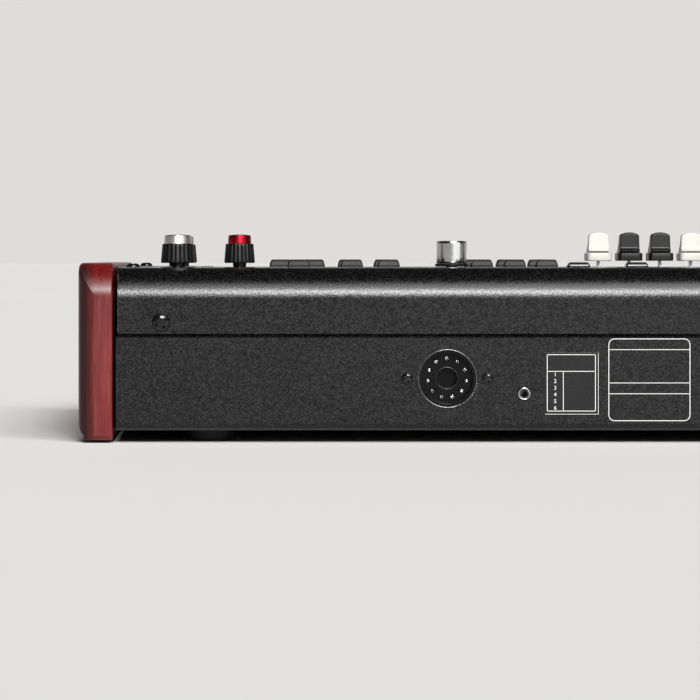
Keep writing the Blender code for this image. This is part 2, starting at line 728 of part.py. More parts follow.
def build_cheek(name, side):
    """An end board: its side outline, with its outer upright edges rounded off in plan."""
    inner, outer = sorted((side * INNER_X, side * HALF_WIDTH))
    outline = [
        (FRONT, CHEEK_LOW, CHEEK_FOOT_RADIUS),
        (REAR, CHEEK_LOW, CHEEK_FOOT_RADIUS),
        (REAR, CHEEK_TOP, CHEEK_TOP_RADIUS),
        (FRONT, CHEEK_TOP, CHEEK_TOP_RADIUS),
    ]
    cheek = piece(name, prism(name, outline, inner, outer), "red_wood")
    inside = side * INNER_X - side * OVERSHOOT
    plan = [
        (inside, FRONT, 0),
        (side * HALF_WIDTH, FRONT, CHEEK_EDGE_ROUND),
        (side * HALF_WIDTH, REAR, CHEEK_EDGE_ROUND),
        (inside, REAR, 0),
    ]
    plan_solid = prism(name + "_plan", plan, -OVERSHOOT, CHEEK_TOP + OVERSHOOT, "Z")
    boolean(cheek, "INTERSECT", "plan", plan_solid)


def build_front_rail():
    edge = INNER_X - SEAT_GAP
    outline = [
        (FRONT, RAIL_LOW, RAIL_FOOT_ROUND),
        (FRONT + RAIL_THICKNESS, RAIL_LOW, 0),
        (FRONT + RAIL_THICKNESS, RAIL_TOP, RAIL_FOOT_ROUND),
        (FRONT, RAIL_TOP, RAIL_ROUND),
    ]
    piece("front_rail", prism("front_rail", outline, -edge, edge), "black_plastic")


def build_key_block(name, side):
    """The block that fills the space between the keys and a cheek, open below."""
    low_x, high_x = sorted((side * (BLOCK_OUTER_X - KEY_BLOCK_WIDTH), side * BLOCK_OUTER_X))
    front = KEY_FRONT + SEAT_GAP
    rear = PANEL_FRONT - SEAT_GAP
    bottom = FLOOR_TOP + SEAT_GAP
    outline = [
        (front, bottom, PAN_CORNER_RADIUS),
        (rear, bottom, 0),
        (rear, PANEL_HEIGHT, 0),
        (front, PANEL_HEIGHT, BLOCK_FRONT_RADIUS),
    ]
    block = piece(name, prism(name, outline, low_x, high_x), "black_plastic")
    low = (low_x + BLOCK_WALL, front + BLOCK_WALL, bottom - OVERSHOOT)
    high = (high_x - BLOCK_WALL, rear - BLOCK_WALL, PANEL_HEIGHT - BLOCK_FRONT_RADIUS)
    cut(block, "hollow", boxes("hollow", (low, high)))


# Keyboard


def build_key_frame():
    edge = KEYS_HALF - FRAME_INSET
    bottom = FLOOR_TOP + SEAT_GAP
    plate_top = NATURAL_LOW - FRAME_PLATE_DROP
    plate_low = plate_top - FRAME_PLATE
    front = KEY_FRONT + FRAME_INSET
    rear = KEY_FRAME_REAR
    natural_ridge = NATURAL_LOW - BAR_PROUD - SEAT_GAP
    sharp_ridge = SHARP_LOW - SEAT_GAP
    outline = [
        (front, bottom, 0),
        (front + FRAME_PLATE, bottom, 0),
        (front + FRAME_PLATE, plate_low, 0),
        (rear - FRAME_PLATE, plate_low, 0),
        (rear - FRAME_PLATE, bottom, 0),
        (rear, bottom, 0),
        (rear, plate_top, 0),
        (SHARP_PIVOT + RIDGE_HALF, plate_top, 0),
        (SHARP_PIVOT + RIDGE_HALF, sharp_ridge, 0),
        (SHARP_PIVOT - RIDGE_HALF, sharp_ridge, 0),
        (SHARP_PIVOT - RIDGE_HALF, plate_top, 0),
        (NATURAL_PIVOT + RIDGE_HALF, plate_top, 0),
        (NATURAL_PIVOT + RIDGE_HALF, natural_ridge, 0),
        (NATURAL_PIVOT - RIDGE_HALF, natural_ridge, 0),
        (NATURAL_PIVOT - RIDGE_HALF, plate_top, 0),
        (front, plate_top, 0),
    ]
    piece("key_frame", prism("key_frame", outline, -edge, edge), "zinc")


def natural_key(left):
    """One natural key, whose left edge of its share of the keyboard is given."""
    outline = [
        (KEY_FRONT, NATURAL_LOW, 0),
        (NATURAL_PIVOT, NATURAL_LOW, 0),
        (NATURAL_PIVOT, TAIL_TOP - BAR_PROUD, 0),
        (PANEL_FRONT + NATURAL_LEDGE, TAIL_TOP - BAR_PROUD, 0),
        (PANEL_FRONT + NATURAL_LEDGE, NATURAL_TOP, 0),
        (KEY_FRONT, NATURAL_TOP, NATURAL_NOSE_RADIUS),
    ]
    return prism("natural_key", outline, left + KEY_GAP / 2, left + KEY_PITCH - KEY_GAP / 2)


def merged(name, meshes):
    bm = bmesh.new()
    for mesh in meshes:
        bm.from_mesh(mesh)
        bpy.data.meshes.remove(mesh)
    return to_mesh(bm, name)


def natural_bar(count):
    """The bar that joins the tails of a run of naturals and rests on the frame's front ridge."""
    low = (KEY_GAP / 2, NATURAL_PIVOT - BAR_HALF, NATURAL_LOW - BAR_PROUD)
    high = (count * KEY_PITCH - KEY_GAP / 2, NATURAL_PIVOT + BAR_HALF, TAIL_TOP)
    return boxes("bar", (low, high))


def key_hollows(count):
    """The moulded hollow under the wide front part of each natural."""
    corners = []
    for index in range(count):
        low_x = index * KEY_PITCH + KEY_GAP / 2 + KEY_WALL
        high_x = (index + 1) * KEY_PITCH - KEY_GAP / 2 - KEY_WALL
        low = (low_x, KEY_FRONT + KEY_WALL, NATURAL_LOW - OVERSHOOT)
        rear = SHARP_FRONT - SHARP_NOSE_GAP - KEY_WALL
        corners.append((low, (high_x, rear, NATURAL_TOP - KEY_WALL)))
    return boxes("key_hollows", *corners)


def sharp_centres():
    return [boundary * KEY_PITCH + shift for boundary, shift in SHARP_SHIFTS.items()]


def natural_octave_mesh():
    keys = merged("naturals", [natural_key(index * KEY_PITCH) for index in range(NATURALS)])
    model = helper("natural_octave", keys)
    gap = SHARP_WIDTH / 2 + SHARP_SIDE_GAP
    rear = NATURAL_PIVOT + BAR_HALF
    notches = []
    for x in sharp_centres():
        low = (x - gap, SHARP_FRONT - SHARP_NOSE_GAP, NATURAL_LOW - OVERSHOOT)
        notches.append((low, (x + gap, rear, NATURAL_TOP + OVERSHOOT)))
    cut(model, "notches", boxes("notches", *notches))
    cut(model, "hollows", key_hollows(NATURALS))
    join(model, "bar", natural_bar(NATURALS))
    return evaluated_mesh(model)


def top_c_mesh():
    model = helper("top_c_model", natural_key(0))
    cut(model, "hollow", key_hollows(1))
    join(model, "bar", natural_bar(1))
    return evaluated_mesh(model)


def sharp_key(x):
    """The part of a sharp that shows: upright below, tapered to its crown, with a sloping nose."""
    half = SHARP_WIDTH / 2
    crown = SHARP_CROWN_WIDTH / 2
    shoulder_z = SHARP_TOP - SHARP_SHOULDER
    shoulder = crown + SHARP_SHOULDER / 2
    rings = [
        (SHARP_LOW, half, SHARP_FRONT),
        (NATURAL_TOP, half, SHARP_FRONT),
        (shoulder_z, shoulder, SHARP_FRONT + SHARP_NOSE_BREAK),
        (SHARP_TOP, crown, SHARP_FRONT + SHARP_NOSE_SLOPE + SHARP_SHOULDER),
    ]
    return loft(
        "sharp_key",
        [
            box_ring(z, half_x, (SHARP_BACK - front) / 2, (x, (SHARP_BACK + front) / 2))
            for z, half_x, front in rings
        ],
    )


def sharp_octave_mesh():
    centres = sharp_centres()
    half = SHARP_WIDTH / 2
    low = (centres[0] - half, SHARP_PIVOT - SHARP_BAR_HALF, SHARP_LOW)
    high = (centres[-1] + half, SHARP_PIVOT + SHARP_BAR_HALF, SHARP_TAIL_LOW + SHARP_TAIL_HEIGHT / 2)
    model = helper("sharp_octave", boxes("sharp_bar", (low, high)))
    tail_front = SHARP_BACK - SHARP_TAIL_OVERLAP
    tail_half = half - SHARP_TAIL_INSET
    tails = []
    for x in centres:
        tail_low = (x - tail_half, tail_front, SHARP_TAIL_LOW)
        tails.append((tail_low, (x + tail_half, SHARP_PIVOT, SHARP_TAIL_LOW + SHARP_TAIL_HEIGHT)))
    join(model, "tails", boxes("sharp_tails", *tails))
    join(model, "keys", merged("sharp_keys", [sharp_key(x) for x in centres]))
    return evaluated_mesh(model)


def pivoted(name, mesh, finish_name, left, pivot):
    """A key piece with its origin on the axis that it turns about."""
    own = mesh.copy()
    own.transform(Matrix.Translation((0, -pivot[0], -pivot[1])))
    return piece(name, own, finish_name, (left, *pivot))


def build_keys():
    naturals = natural_octave_mesh()
    sharps = sharp_octave_mesh()
    natural_pivot = (NATURAL_PIVOT, NATURAL_LOW - BAR_PROUD)
    sharp_pivot = (SHARP_PIVOT, SHARP_LOW)
    for index in range(OCTAVES):
        left = -KEYS_HALF + index * OCTAVE_WIDTH
        pivoted(f"naturals_octave_{index + 1}", naturals, "white_key", left, natural_pivot)
        pivoted(f"sharps_octave_{index + 1}", sharps, "black_key", left, sharp_pivot)
    pivoted("natural_top_c", top_c_mesh(), "white_key", KEYS_HALF - KEY_PITCH, natural_pivot)


# Panel controls


def tab_mesh(name):
    """A drawbar's finger tab: a scooped side profile that narrows upward and has an arched top."""
    low = PANEL_HEIGHT + DRAWBAR_LIFT
    foot = low + TAB_BASE[2] / 2
    neck = low + TAB_BASE[2] + TAB_NECK / 2
    outline = [
        (-TAB_FRONT_FOOT, foot, 0),
        (TAB_REAR_FOOT, foot, 0),
        (TAB_REAR_FOOT, neck, 0),
        (TAB_REAR_WAIST, low + TAB_BASE[2] + TAB_NECK, 0),
        (TAB_REAR_TOP, low + TAB_HEIGHT, 0),
        (-TAB_FRONT_TOP, low + TAB_HEIGHT, 0),
        (-TAB_SCOOP, low + TAB_SCOOP_HEIGHT, 0),
        (-TAB_FRONT_FOOT, neck, 0),
    ]
    half = TAB_WIDTH / 2
    mesh = prism(name, outline, -half, half)
    bm = bmesh.new()
    bm.from_mesh(mesh)
    for index in range(1, TAB_SLICES):
        x = -half + index * TAB_WIDTH / TAB_SLICES
        geometry = bm.verts[:] + bm.edges[:] + bm.faces[:]
        bmesh.ops.bisect_plane(bm, geom=geometry, plane_co=(x, 0, 0), plane_no=(1, 0, 0))
    for vertex in bm.verts:
        rise = (vertex.co.z - low) / TAB_HEIGHT
        off_centre = vertex.co.x / half
        vertex.co.x *= 1 - rise * (1 - TAB_TOP_WIDTH / TAB_WIDTH)
        vertex.co.z -= TAB_ARCH * off_centre**2 * rise**4
    return to_mesh(bm, name)


def build_drawbars():
    tab_low = PANEL_HEIGHT + DRAWBAR_LIFT
    carriage_low = CONTROL_BOARD_TOP + SEAT_GAP
    half_base = (TAB_BASE[0] / 2, TAB_BASE[1] / 2)
    for name, x, finish_name in zip(DRAWBAR_NAMES, DRAWBAR_XS, DRAWBAR_FINISHES):
        block = boxes("block", ((-half_base[0], -half_base[1], tab_low), (*half_base, tab_low + TAB_BASE[2])))
        bar = piece(f"drawbar_{name}", block, finish_name, (x, DRAWBAR_Y, 0))
        join(bar, "tab", tab_mesh("tab"))
        stem_low = (-STEM[0] / 2, -STEM[1] / 2, carriage_low + CARRIAGE[2] / 2)
        join(bar, "stem", boxes("stem", (stem_low, (STEM[0] / 2, STEM[1] / 2, tab_low + TAB_BASE[2] / 2))))
        half = (CARRIAGE[0] / 2, CARRIAGE[1] / 2)
        carriage = ((-half[0], -half[1], carriage_low), (*half, carriage_low + CARRIAGE[2]))
        join(bar, "carriage", boxes("carriage", carriage))


def build_knob(name, x, y, skirt, cap, neck, finish_name):
    neck_low = PANEL_HEIGHT + SEAT_GAP
    neck_top = neck_low + KNOB_NECK_HEIGHT
    skirt_top = neck_top + KNOB_SKIRT_HEIGHT
    cap_top = skirt_top + KNOB_CAP_HEIGHT
    flute = KNOB_FLUTE_DEPTH
    rings = [
        (CONTROL_BOARD_TOP + SEAT_GAP, KNOB_SHAFT_DIAMETER, 0),
        (neck_low, KNOB_SHAFT_DIAMETER, 0),
        (neck_low, neck, 0),
        (neck_top, neck, 0),
        (neck_top, skirt, flute),
        (skirt_top, skirt * KNOB_TAPER, flute),
        (skirt_top, cap, 0),
        (cap_top - KNOB_CAP_EDGE, cap * KNOB_CAP_TAPER, 0),
        (cap_top, cap * KNOB_CAP_TAPER - 2 * KNOB_CAP_EDGE, 0),
    ]
    mesh = loft(name, [round_ring(z, size, KNOB_SIDES, depth) for z, size, depth in rings])
    piece(name, mesh, finish_name, (x, y, 0))


def build_encoder():
    shaft = KNOB_SHAFT_DIAMETER / 2
    radius = ENCODER_DIAMETER / 2
    flange = ENCODER_FLANGE / 2
    low = PANEL_HEIGHT + SEAT_GAP
    flange_top = low + ENCODER_FLANGE_HEIGHT
    top = flange_top + ENCODER_HEIGHT
    profile = [
        (0, top),
        (radius - KNOB_CAP_EDGE, top),
        (radius, top - KNOB_CAP_EDGE),
        (radius, flange_top),
        (flange, flange_top),
        (flange, low),
        (shaft, low),
        (shaft, CONTROL_BOARD_TOP + SEAT_GAP),
        (0, CONTROL_BOARD_TOP + SEAT_GAP),
    ]
    encoder = piece("menu_encoder", line_mesh("menu_encoder", profile), "steel", (*ENCODER_PLACE, 0))
    turned(encoder, KNOB_SIDES)


LIP_TOP = PANEL_UNDERSIDE - SEAT_GAP
LIP_LOW = LIP_TOP - BUTTON_LIP_THICKNESS


def button_cap_rings(bottom, rise, x=0.0):
    """The part of a button that passes through the panel, chamfered at its top."""
    half = (BUTTON_WIDTH / 2, BUTTON_DEPTH / 2)
    top = PANEL_HEIGHT + rise
    return [
        box_ring(bottom, *half, (x, 0)),
        box_ring(top - BUTTON_CHAMFER, *half, (x, 0)),
        box_ring(top, half[0] - BUTTON_CHAMFER, half[1] - BUTTON_CHAMFER, (x, 0)),
    ]


def build_button(name, x, y, rise):
    lip = (BUTTON_WIDTH / 2 + BUTTON_LIP, BUTTON_DEPTH / 2 + BUTTON_LIP)
    stem = (BUTTON_STEM_HALF, BUTTON_STEM_HALF)
    rings = [
        box_ring(CONTROL_BOARD_TOP + BUTTON_STEM_GAP, *stem),
        box_ring(LIP_LOW, *stem),
        box_ring(LIP_LOW, *lip),
        box_ring(LIP_TOP, *lip),
        *button_cap_rings(LIP_TOP, rise),
    ]
    piece(name, loft(name, rings), "black_plastic", (x, y, 0))


def build_button_strip(name, xs, y):
    """Several buttons moulded on one web, which presses down as one."""
    middle = (xs[0] + xs[-1]) / 2
    reach = abs(xs[-1] - xs[0]) / 2 + BUTTON_WIDTH / 2 + BUTTON_LIP
    half_y = BUTTON_DEPTH / 2 + BUTTON_LIP
    web = boxes("web", ((-reach, -half_y, LIP_LOW), (reach, half_y, LIP_TOP)))
    strip = piece(name, web, "black_plastic", (middle, y, 0))
    bottom = (LIP_LOW + LIP_TOP) / 2
    caps = [loft("cap", button_cap_rings(bottom, BUTTON_RISE, x - middle)) for x in xs]
    join(strip, "caps", merged("caps", caps))


def build_display_window():
    x, y = WINDOW_PLACE
    half = (WINDOW_SIZE[0] / 2, WINDOW_SIZE[1] / 2)
    lip = (half[0] + WINDOW_LIP, half[1] + WINDOW_LIP)
    top = PANEL_HEIGHT + WINDOW_PROUD
    rings = [
        box_ring(top - WINDOW_THICKNESS - SHEET, *lip),
        box_ring(LIP_TOP, *lip),
        box_ring(LIP_TOP, *half),
        box_ring(top, *half),
    ]
    piece("display_window", loft("display_window", rings), "window", (x, y, 0))


# Boards inside the case


def build_control_board():
    """The board that carries the switches, faders and pots, hung on pillars from the panel."""
    edge = INNER_X - CONTROL_BOARD_END
    front = PANEL_FRONT + CONTROL_BOARD_FRONT
    rear = REAR - CONTROL_BOARD_REAR
    plate = boxes("board", ((-edge, front, CONTROL_BOARD_LOW), (edge, rear, CONTROL_BOARD_TOP)))
    board = piece("control_board", plate, "board")
    bm = bmesh.new()
    start = (CONTROL_BOARD_LOW + CONTROL_BOARD_TOP) / 2
    for near_left, near_end, y in (
        (PILLARS_FRONT_FROM_LEFT, PILLARS_FRONT_FROM_END, front + PILLAR_INSET),
        (PILLARS_REAR_FROM_LEFT, PILLARS_REAR_FROM_END, rear - PILLAR_INSET),
    ):
        xs = [from_left(distance) for distance in near_left]
        xs += [from_right(distance) for distance in near_end]
        for x in xs:
            add_cylinder(bm, (x, y, start), LIP_TOP - start, PILLAR_DIAMETER, "Z", PILLAR_SIDES)
    join(board, "pillars", to_mesh(bm, "pillars"))


def build_main_board():
    """The board on the floor of the pan, between the key frame and the rear jack board."""
    length = MAIN_BOARD_LENGTH
    x = from_left(MAIN_BOARD_FROM_LEFT)
    front = KEY_FRAME_REAR + MAIN_BOARD_GAP
    rear = REAR - MAIN_BOARD_FROM_REAR
    top = MAIN_BOARD_HEIGHT + BOARD
    corner = (x, front, MAIN_BOARD_HEIGHT)
    board = piece("main_board", boxes("board", (corner, (x + length, rear, top))), "board")
    legs = bmesh.new()
    for leg_x in (x + PILLAR_DIAMETER, x + length - PILLAR_DIAMETER):
        for leg_y in (front + PILLAR_DIAMETER, rear - PILLAR_DIAMETER):
            start = (leg_x, leg_y, FLOOR_TOP + SEAT_GAP)
            height = MAIN_BOARD_HEIGHT + BOARD / 2 - FLOOR_TOP - SEAT_GAP
            add_cylinder(legs, start, height, PILLAR_DIAMETER, "Z", PILLAR_SIDES)
    join(board, "legs", to_mesh(legs, "legs"))
    chips = []
    half_x, half_y = CHIP_SIZE[0] / 2, CHIP_SIZE[1] / 2
    middle = (front + rear) / 2
    for distance in CHIPS_FROM_LEFT:
        low = (x + distance - half_x, middle - half_y, MAIN_BOARD_HEIGHT + BOARD / 2)
        chips.append((low, (x + distance + half_x, middle + half_y, top + CHIP_SIZE[2])))
    join(board, "chips", boxes("chips", *chips))


def build_power_supply():
    length, depth, height = SUPPLY_SIZE
    x = from_left(SUPPLY_FROM_LEFT)
    front = KEY_FRAME_REAR + SUPPLY_GAP
    rear = front + depth
    low = FLOOR_TOP + SEAT_GAP
    body = ((x, front, low), (x + length, rear, low + height))
    supply = piece("power_supply", boxes("supply", body), "zinc")
    vents = []
    for index in range(SUPPLY_VENTS):
        start = x + (index + 1) * length / (SUPPLY_VENTS + 1)
        corner = (start - VENT_WIDTH / 2, front + VENT_MARGIN, low + height - VENT_DEPTH)
        vents.append((corner, (start + VENT_WIDTH / 2, rear - VENT_MARGIN, low + height + OVERSHOOT)))
    cut(supply, "vents", boxes("vents", *vents))


# Rear connectors


def build_rotary_socket():
    x, z = from_right(ROTARY_FROM_END), ROTARY_HEIGHT
    face = REAR - ROTARY_SET_IN
    flange_rear = WALL_INSIDE - SEAT_GAP
    body = cylinder("body", (x, face, z), -ROTARY_DEPTH, ROTARY_BODY, "Y", ROTARY_SIDES)
    socket = piece("rotary_socket", body, "black_plastic")
    centre = (x, flange_rear - ROTARY_FLANGE[2] / 2, z)
    bm = bmesh.new()
    add_centred_box(bm, centre, (ROTARY_FLANGE[0], ROTARY_FLANGE[2], ROTARY_FLANGE[1]))
    join(socket, "flange", to_mesh(bm, "flange"))
    start = face + OVERSHOOT
    well = cylinder(
        "well", (x, start, z), -(ROTARY_RECESS + OVERSHOOT), ROTARY_BODY - 2 * ROTARY_RIM, "Y", ROTARY_SIDES
    )
    cut(socket, "well", well)
    holes = bmesh.new()
    floor = face - ROTARY_RECESS + OVERSHOOT
    add_cylinder(holes, (x, floor, z), -(ROTARY_BORE_DEPTH - ROTARY_RECESS + OVERSHOOT), ROTARY_BORE, "Y")
    for index in range(ROTARY_PINS):
        angle = math.tau * (index + 0.5) / ROTARY_PINS - math.pi / 2
        pin_x = x + ROTARY_PIN_CIRCLE / 2 * math.cos(angle)
        pin_z = z + ROTARY_PIN_CIRCLE / 2 * math.sin(angle)
        start = (pin_x, floor, pin_z)
        add_cylinder(holes, start, -(ROTARY_PIN_DEPTH + OVERSHOOT), ROTARY_PIN_HOLE, "Y", PIN_HOLE_SIDES)
    cut(socket, "holes", to_mesh(holes, "holes"))


def build_line_in_jack():
    x, z = from_right(MINI_FROM_END), MINI_HEIGHT
    body_rear = WALL_INSIDE - SEAT_GAP
    width, depth, height = MINI_BODY
    low = (x - width / 2, body_rear - depth, z - height / 2)
    jack = piece("line_in_jack", boxes("body", (low, (x + width / 2, body_rear, z + height / 2))), "steel")
    bush_length = REAR - body_rear + OVERSHOOT
    join(jack, "bush", cylinder("bush", (x, REAR, z), -bush_length, MINI_BUSH, "Y"))
    start = (x, REAR + OVERSHOOT, z)
    bore = cylinder("bore", start, -(MINI_BORE_DEPTH + OVERSHOOT), MINI_BORE, "Y", BORE_SIDES)
    cut(jack, "bore", bore)


def build_rear_jack_board():
    """Upright board behind the rear wall, with the phone jacks, the round data sockets and the square one."""
    z = JACK_ROW_HEIGHT
    body_rear = WALL_INSIDE - SEAT_GAP
    board_rear = REAR - JACK_BOARD_FROM_REAR
    board_middle = board_rear - BOARD / 2
    left = from_left(min(DINS_FROM_LEFT)) - JACK_BOARD_MARGIN
    right = from_left(max(JACKS_FROM_LEFT)) + JACK_BOARD_MARGIN
    plate = ((left, board_rear - BOARD, JACK_BOARD_LOW), (right, board_rear, JACK_BOARD_TOP))
    board = piece("rear_jack_board", boxes("board", plate), "black_plastic")
    bodies = bmesh.new()
    fronts = bmesh.new()
    bores = bmesh.new()
    start = REAR + OVERSHOOT
    nose = -(REAR - body_rear + OVERSHOOT)
    for distances, body, face, well, depth in (
        (JACKS_FROM_LEFT, JACK_BODY, JACK_BUSH, JACK_BORE, JACK_BORE_DEPTH),
        (DINS_FROM_LEFT, DIN_BODY, DIN_FACE, DIN_WELL, DIN_WELL_DEPTH),
    ):
        for distance in distances:
            x = from_left(distance)
            half = body / 2
            add_box(bodies, (x - half, board_middle, z - half), (x + half, body_rear, z + half))
            add_cylinder(fronts, (x, REAR, z), nose, face, "Y")
            add_cylinder(bores, (x, start, z), -(depth + OVERSHOOT), well, "Y", BORE_SIDES)
    x = from_left(USB_FROM_LEFT)
    half = (USB_FACE[0] / 2, USB_FACE[1] / 2)
    add_box(bodies, (x - half[0], board_middle, z - half[1]), (x + half[0], REAR, z + half[1]))
    well = (USB_WELL[0] / 2, USB_WELL[1] / 2)
    add_box(bores, (x - well[0], REAR - USB_WELL_DEPTH, z - well[1]), (x + well[0], start, z + well[1]))
    join(board, "bodies", to_mesh(bodies, "bodies"))
    join(board, "fronts", to_mesh(fronts, "fronts"))
    cut(board, "bores", to_mesh(bores, "bores"))


def build_mains_inlet():
    """The mains inlet and the housing of the power switch, in one moulding let into the rear wall."""
    z = INLET_HEIGHT
    half_z = INLET_FACE[1] / 2
    half_x = (INLET_FACE[0] + SWITCH_FACE[0]) / 2
    x = INLET_MIDDLE
    body = ((x - half_x, REAR - INLET_BODY_DEPTH, z - half_z), (x + half_x, REAR, z + half_z))
    inlet = piece("mains_inlet", boxes("body", body), "black_plastic")
    catch_rear = WALL_INSIDE - SEAT_GAP
    catch_low = (x - half_x - INLET_CATCH, catch_rear - INLET_CATCH, z - half_z)
    catch_high = (x + half_x + INLET_CATCH, catch_rear, z + half_z - INLET_CATCH)
    join(inlet, "catch", boxes("catch", (catch_low, catch_high)))
    well_x, well_z = INLET_WELL[0] / 2, INLET_WELL[1] / 2
    inlet_x = from_left(INLET_FROM_LEFT)
    well = (
        (inlet_x - well_x, REAR - INLET_WELL_DEPTH, z - well_z),
        (inlet_x + well_x, REAR + OVERSHOOT, z + well_z),
    )
    slot_x, slot_z = SWITCH_WELL[0] / 2, SWITCH_WELL[1] / 2
    slot = (
        (SWITCH_X - slot_x, REAR - SWITCH_WELL_DEPTH, z - slot_z),
        (SWITCH_X + slot_x, REAR + OVERSHOOT, z + slot_z),
    )
    cut(inlet, "wells", boxes("wells", well, slot))
    blades = []
    for offset, lift in ((-INLET_BLADE_SPACING, -1), (0, 1), (INLET_BLADE_SPACING, -1)):
        centre_x, centre_z = inlet_x + offset, z + lift * INLET_BLADE[1] / 2
        floor = REAR - INLET_WELL_DEPTH
        low = (centre_x - INLET_BLADE[0] / 2, floor - OVERSHOOT, centre_z - INLET_BLADE[1] / 2)
        high = (centre_x + INLET_BLADE[0] / 2, floor + INLET_BLADE_LENGTH, centre_z + INLET_BLADE[1] / 2)
        blades.append((low, high))
    join(inlet, "blades", boxes("blades", *blades))


def build_power_rocker():
    """The rocker, tilted to its off side and turning about its own X axis."""
    half = SWITCH_WELL[1] / 2 - 2 * ROCKER_CLEARANCE
    outline = [
        (-ROCKER_BACK, -ROCKER_BACK_HALF, 0),
        (ROCKER_FACE - ROCKER_DISH, -half, 0),
        (ROCKER_FACE, -half, 0),
        (ROCKER_FACE - ROCKER_DISH, 0, 0),
        (ROCKER_FACE, half, 0),
        (ROCKER_FACE - ROCKER_DISH, half, 0),
        (-ROCKER_BACK, ROCKER_BACK_HALF, 0),
    ]
    half_x = SWITCH_WELL[0] / 2 - ROCKER_CLEARANCE
    mesh = prism("power_rocker", outline, -half_x, half_x)
    mesh.transform(Matrix.Rotation(math.radians(-ROCKER_THROW / 2), 4, "X"))
    piece("power_rocker", mesh, "black_plastic", (SWITCH_X, REAR - ROCKER_SETBACK, INLET_HEIGHT))


build_bottom_pan()
build_top_cover()
build_cheek("cheek_left", -1)
build_cheek("cheek_right", 1)
build_front_rail()
build_key_block("key_block_left", -1)
build_key_block("key_block_right", 1)
build_feet()
build_key_frame()
build_keys()
build_drawbars()
for knob in KNOBS:
    build_knob(*knob)
build_encoder()
for button in BUTTONS:
    build_button(*button)
for strip_name, (strip_xs, strip_y) in BUTTON_STRIPS.items():
    build_button_strip(strip_name, strip_xs, strip_y)
build_display_window()
build_control_board()
build_main_board()
build_power_supply()
build_rotary_socket()
build_line_in_jack()
build_rear_jack_board()
build_mains_inlet()
build_power_rocker()
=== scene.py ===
"""The looks of a portable drawbar organ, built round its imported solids. Metres, +Z up, the rear at +Y."""

import json
import math

import bmesh
import bpy
from mathutils import Matrix, Vector
from mathutils.bvhtree import BVHTree


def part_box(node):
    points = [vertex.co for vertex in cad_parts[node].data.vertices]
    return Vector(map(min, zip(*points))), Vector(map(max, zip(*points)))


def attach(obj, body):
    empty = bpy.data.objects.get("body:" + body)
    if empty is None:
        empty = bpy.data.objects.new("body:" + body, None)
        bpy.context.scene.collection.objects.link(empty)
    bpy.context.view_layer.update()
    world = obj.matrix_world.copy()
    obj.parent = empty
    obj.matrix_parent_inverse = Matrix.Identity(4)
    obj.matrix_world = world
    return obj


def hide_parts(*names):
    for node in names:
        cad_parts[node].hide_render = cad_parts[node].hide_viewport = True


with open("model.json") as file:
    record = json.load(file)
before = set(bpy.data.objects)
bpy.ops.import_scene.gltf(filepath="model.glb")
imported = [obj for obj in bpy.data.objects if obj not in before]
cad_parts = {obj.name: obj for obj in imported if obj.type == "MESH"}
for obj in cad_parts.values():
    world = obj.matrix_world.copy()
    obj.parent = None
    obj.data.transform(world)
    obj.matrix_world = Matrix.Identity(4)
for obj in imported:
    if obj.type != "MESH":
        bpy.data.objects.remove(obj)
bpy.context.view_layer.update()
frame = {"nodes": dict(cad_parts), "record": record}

MM = 0.001
NODE_BODY = {
    node: body for body, nodes in frame["record"]["behaviour"]["bodies"].items() for node in nodes
}

# Sizes that the solids give
COVER_LOW, COVER_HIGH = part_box("top_cover")
PAN_LOW, PAN_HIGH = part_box("bottom_pan")
PANEL = COVER_HIGH.z
REAR = COVER_HIGH.y
PANEL_FRONT = COVER_LOW.y
SEAM = COVER_LOW.z

# Sizes of the sheet metal and of the wood
SHEET = 1.2 * MM
REAR_BEND = 16 * MM
FRONT_BEND = 3 * MM
FRONT_LIP = 12 * MM
CHEEK_TOP_RADIUS = 17 * MM
CHEEK_FOOT_RADIUS = 2.4 * MM
CHEEK_END_ROUND = 9 * MM
CHEEK_LONG_ROUND = 2.3 * MM
CHEEK_INNER_ROUND = 1 * MM
CHEEK_FLAT_FROM_EDGE = 14 * MM
ARC_STEPS = 24
OVERRUN = 2 * MM
HAIR = 0.1 * MM
AXIS = HAIR / 2  # as near as a turned profile comes to its axis
SEAM_SHADOW = 0.1 * MM
SEAM_DEPTH = 3.5 * MM
SEAM_HALF = 0.6 * MM
LAP_INSET = 0.9 * MM
PAN_TRIM = 0.8 * MM
FOOT_RECESS = 4.5 * MM
FOOT_RECESS_DEPTH = 3 * MM
END_TRIM = 0.6 * MM
LAP = 14 * MM
INK = 0.06 * MM
FIGURE_SHARE = 0.7  # a figure's height as a share of its font's size
PLATE_RISE = 0.25 * MM
SCREW_DOME = 0.55
SOCKET_WELL = 5 * MM
DATA_WELL = 6 * MM
JACK_LEVEL = 32 * MM
TO_REAR = -math.pi / 2
FACING_REAR = Matrix(((-1, 0, 0, 0), (0, 0, 1, 0), (0, 1, 0, 0), (0, 0, 0, 1)))

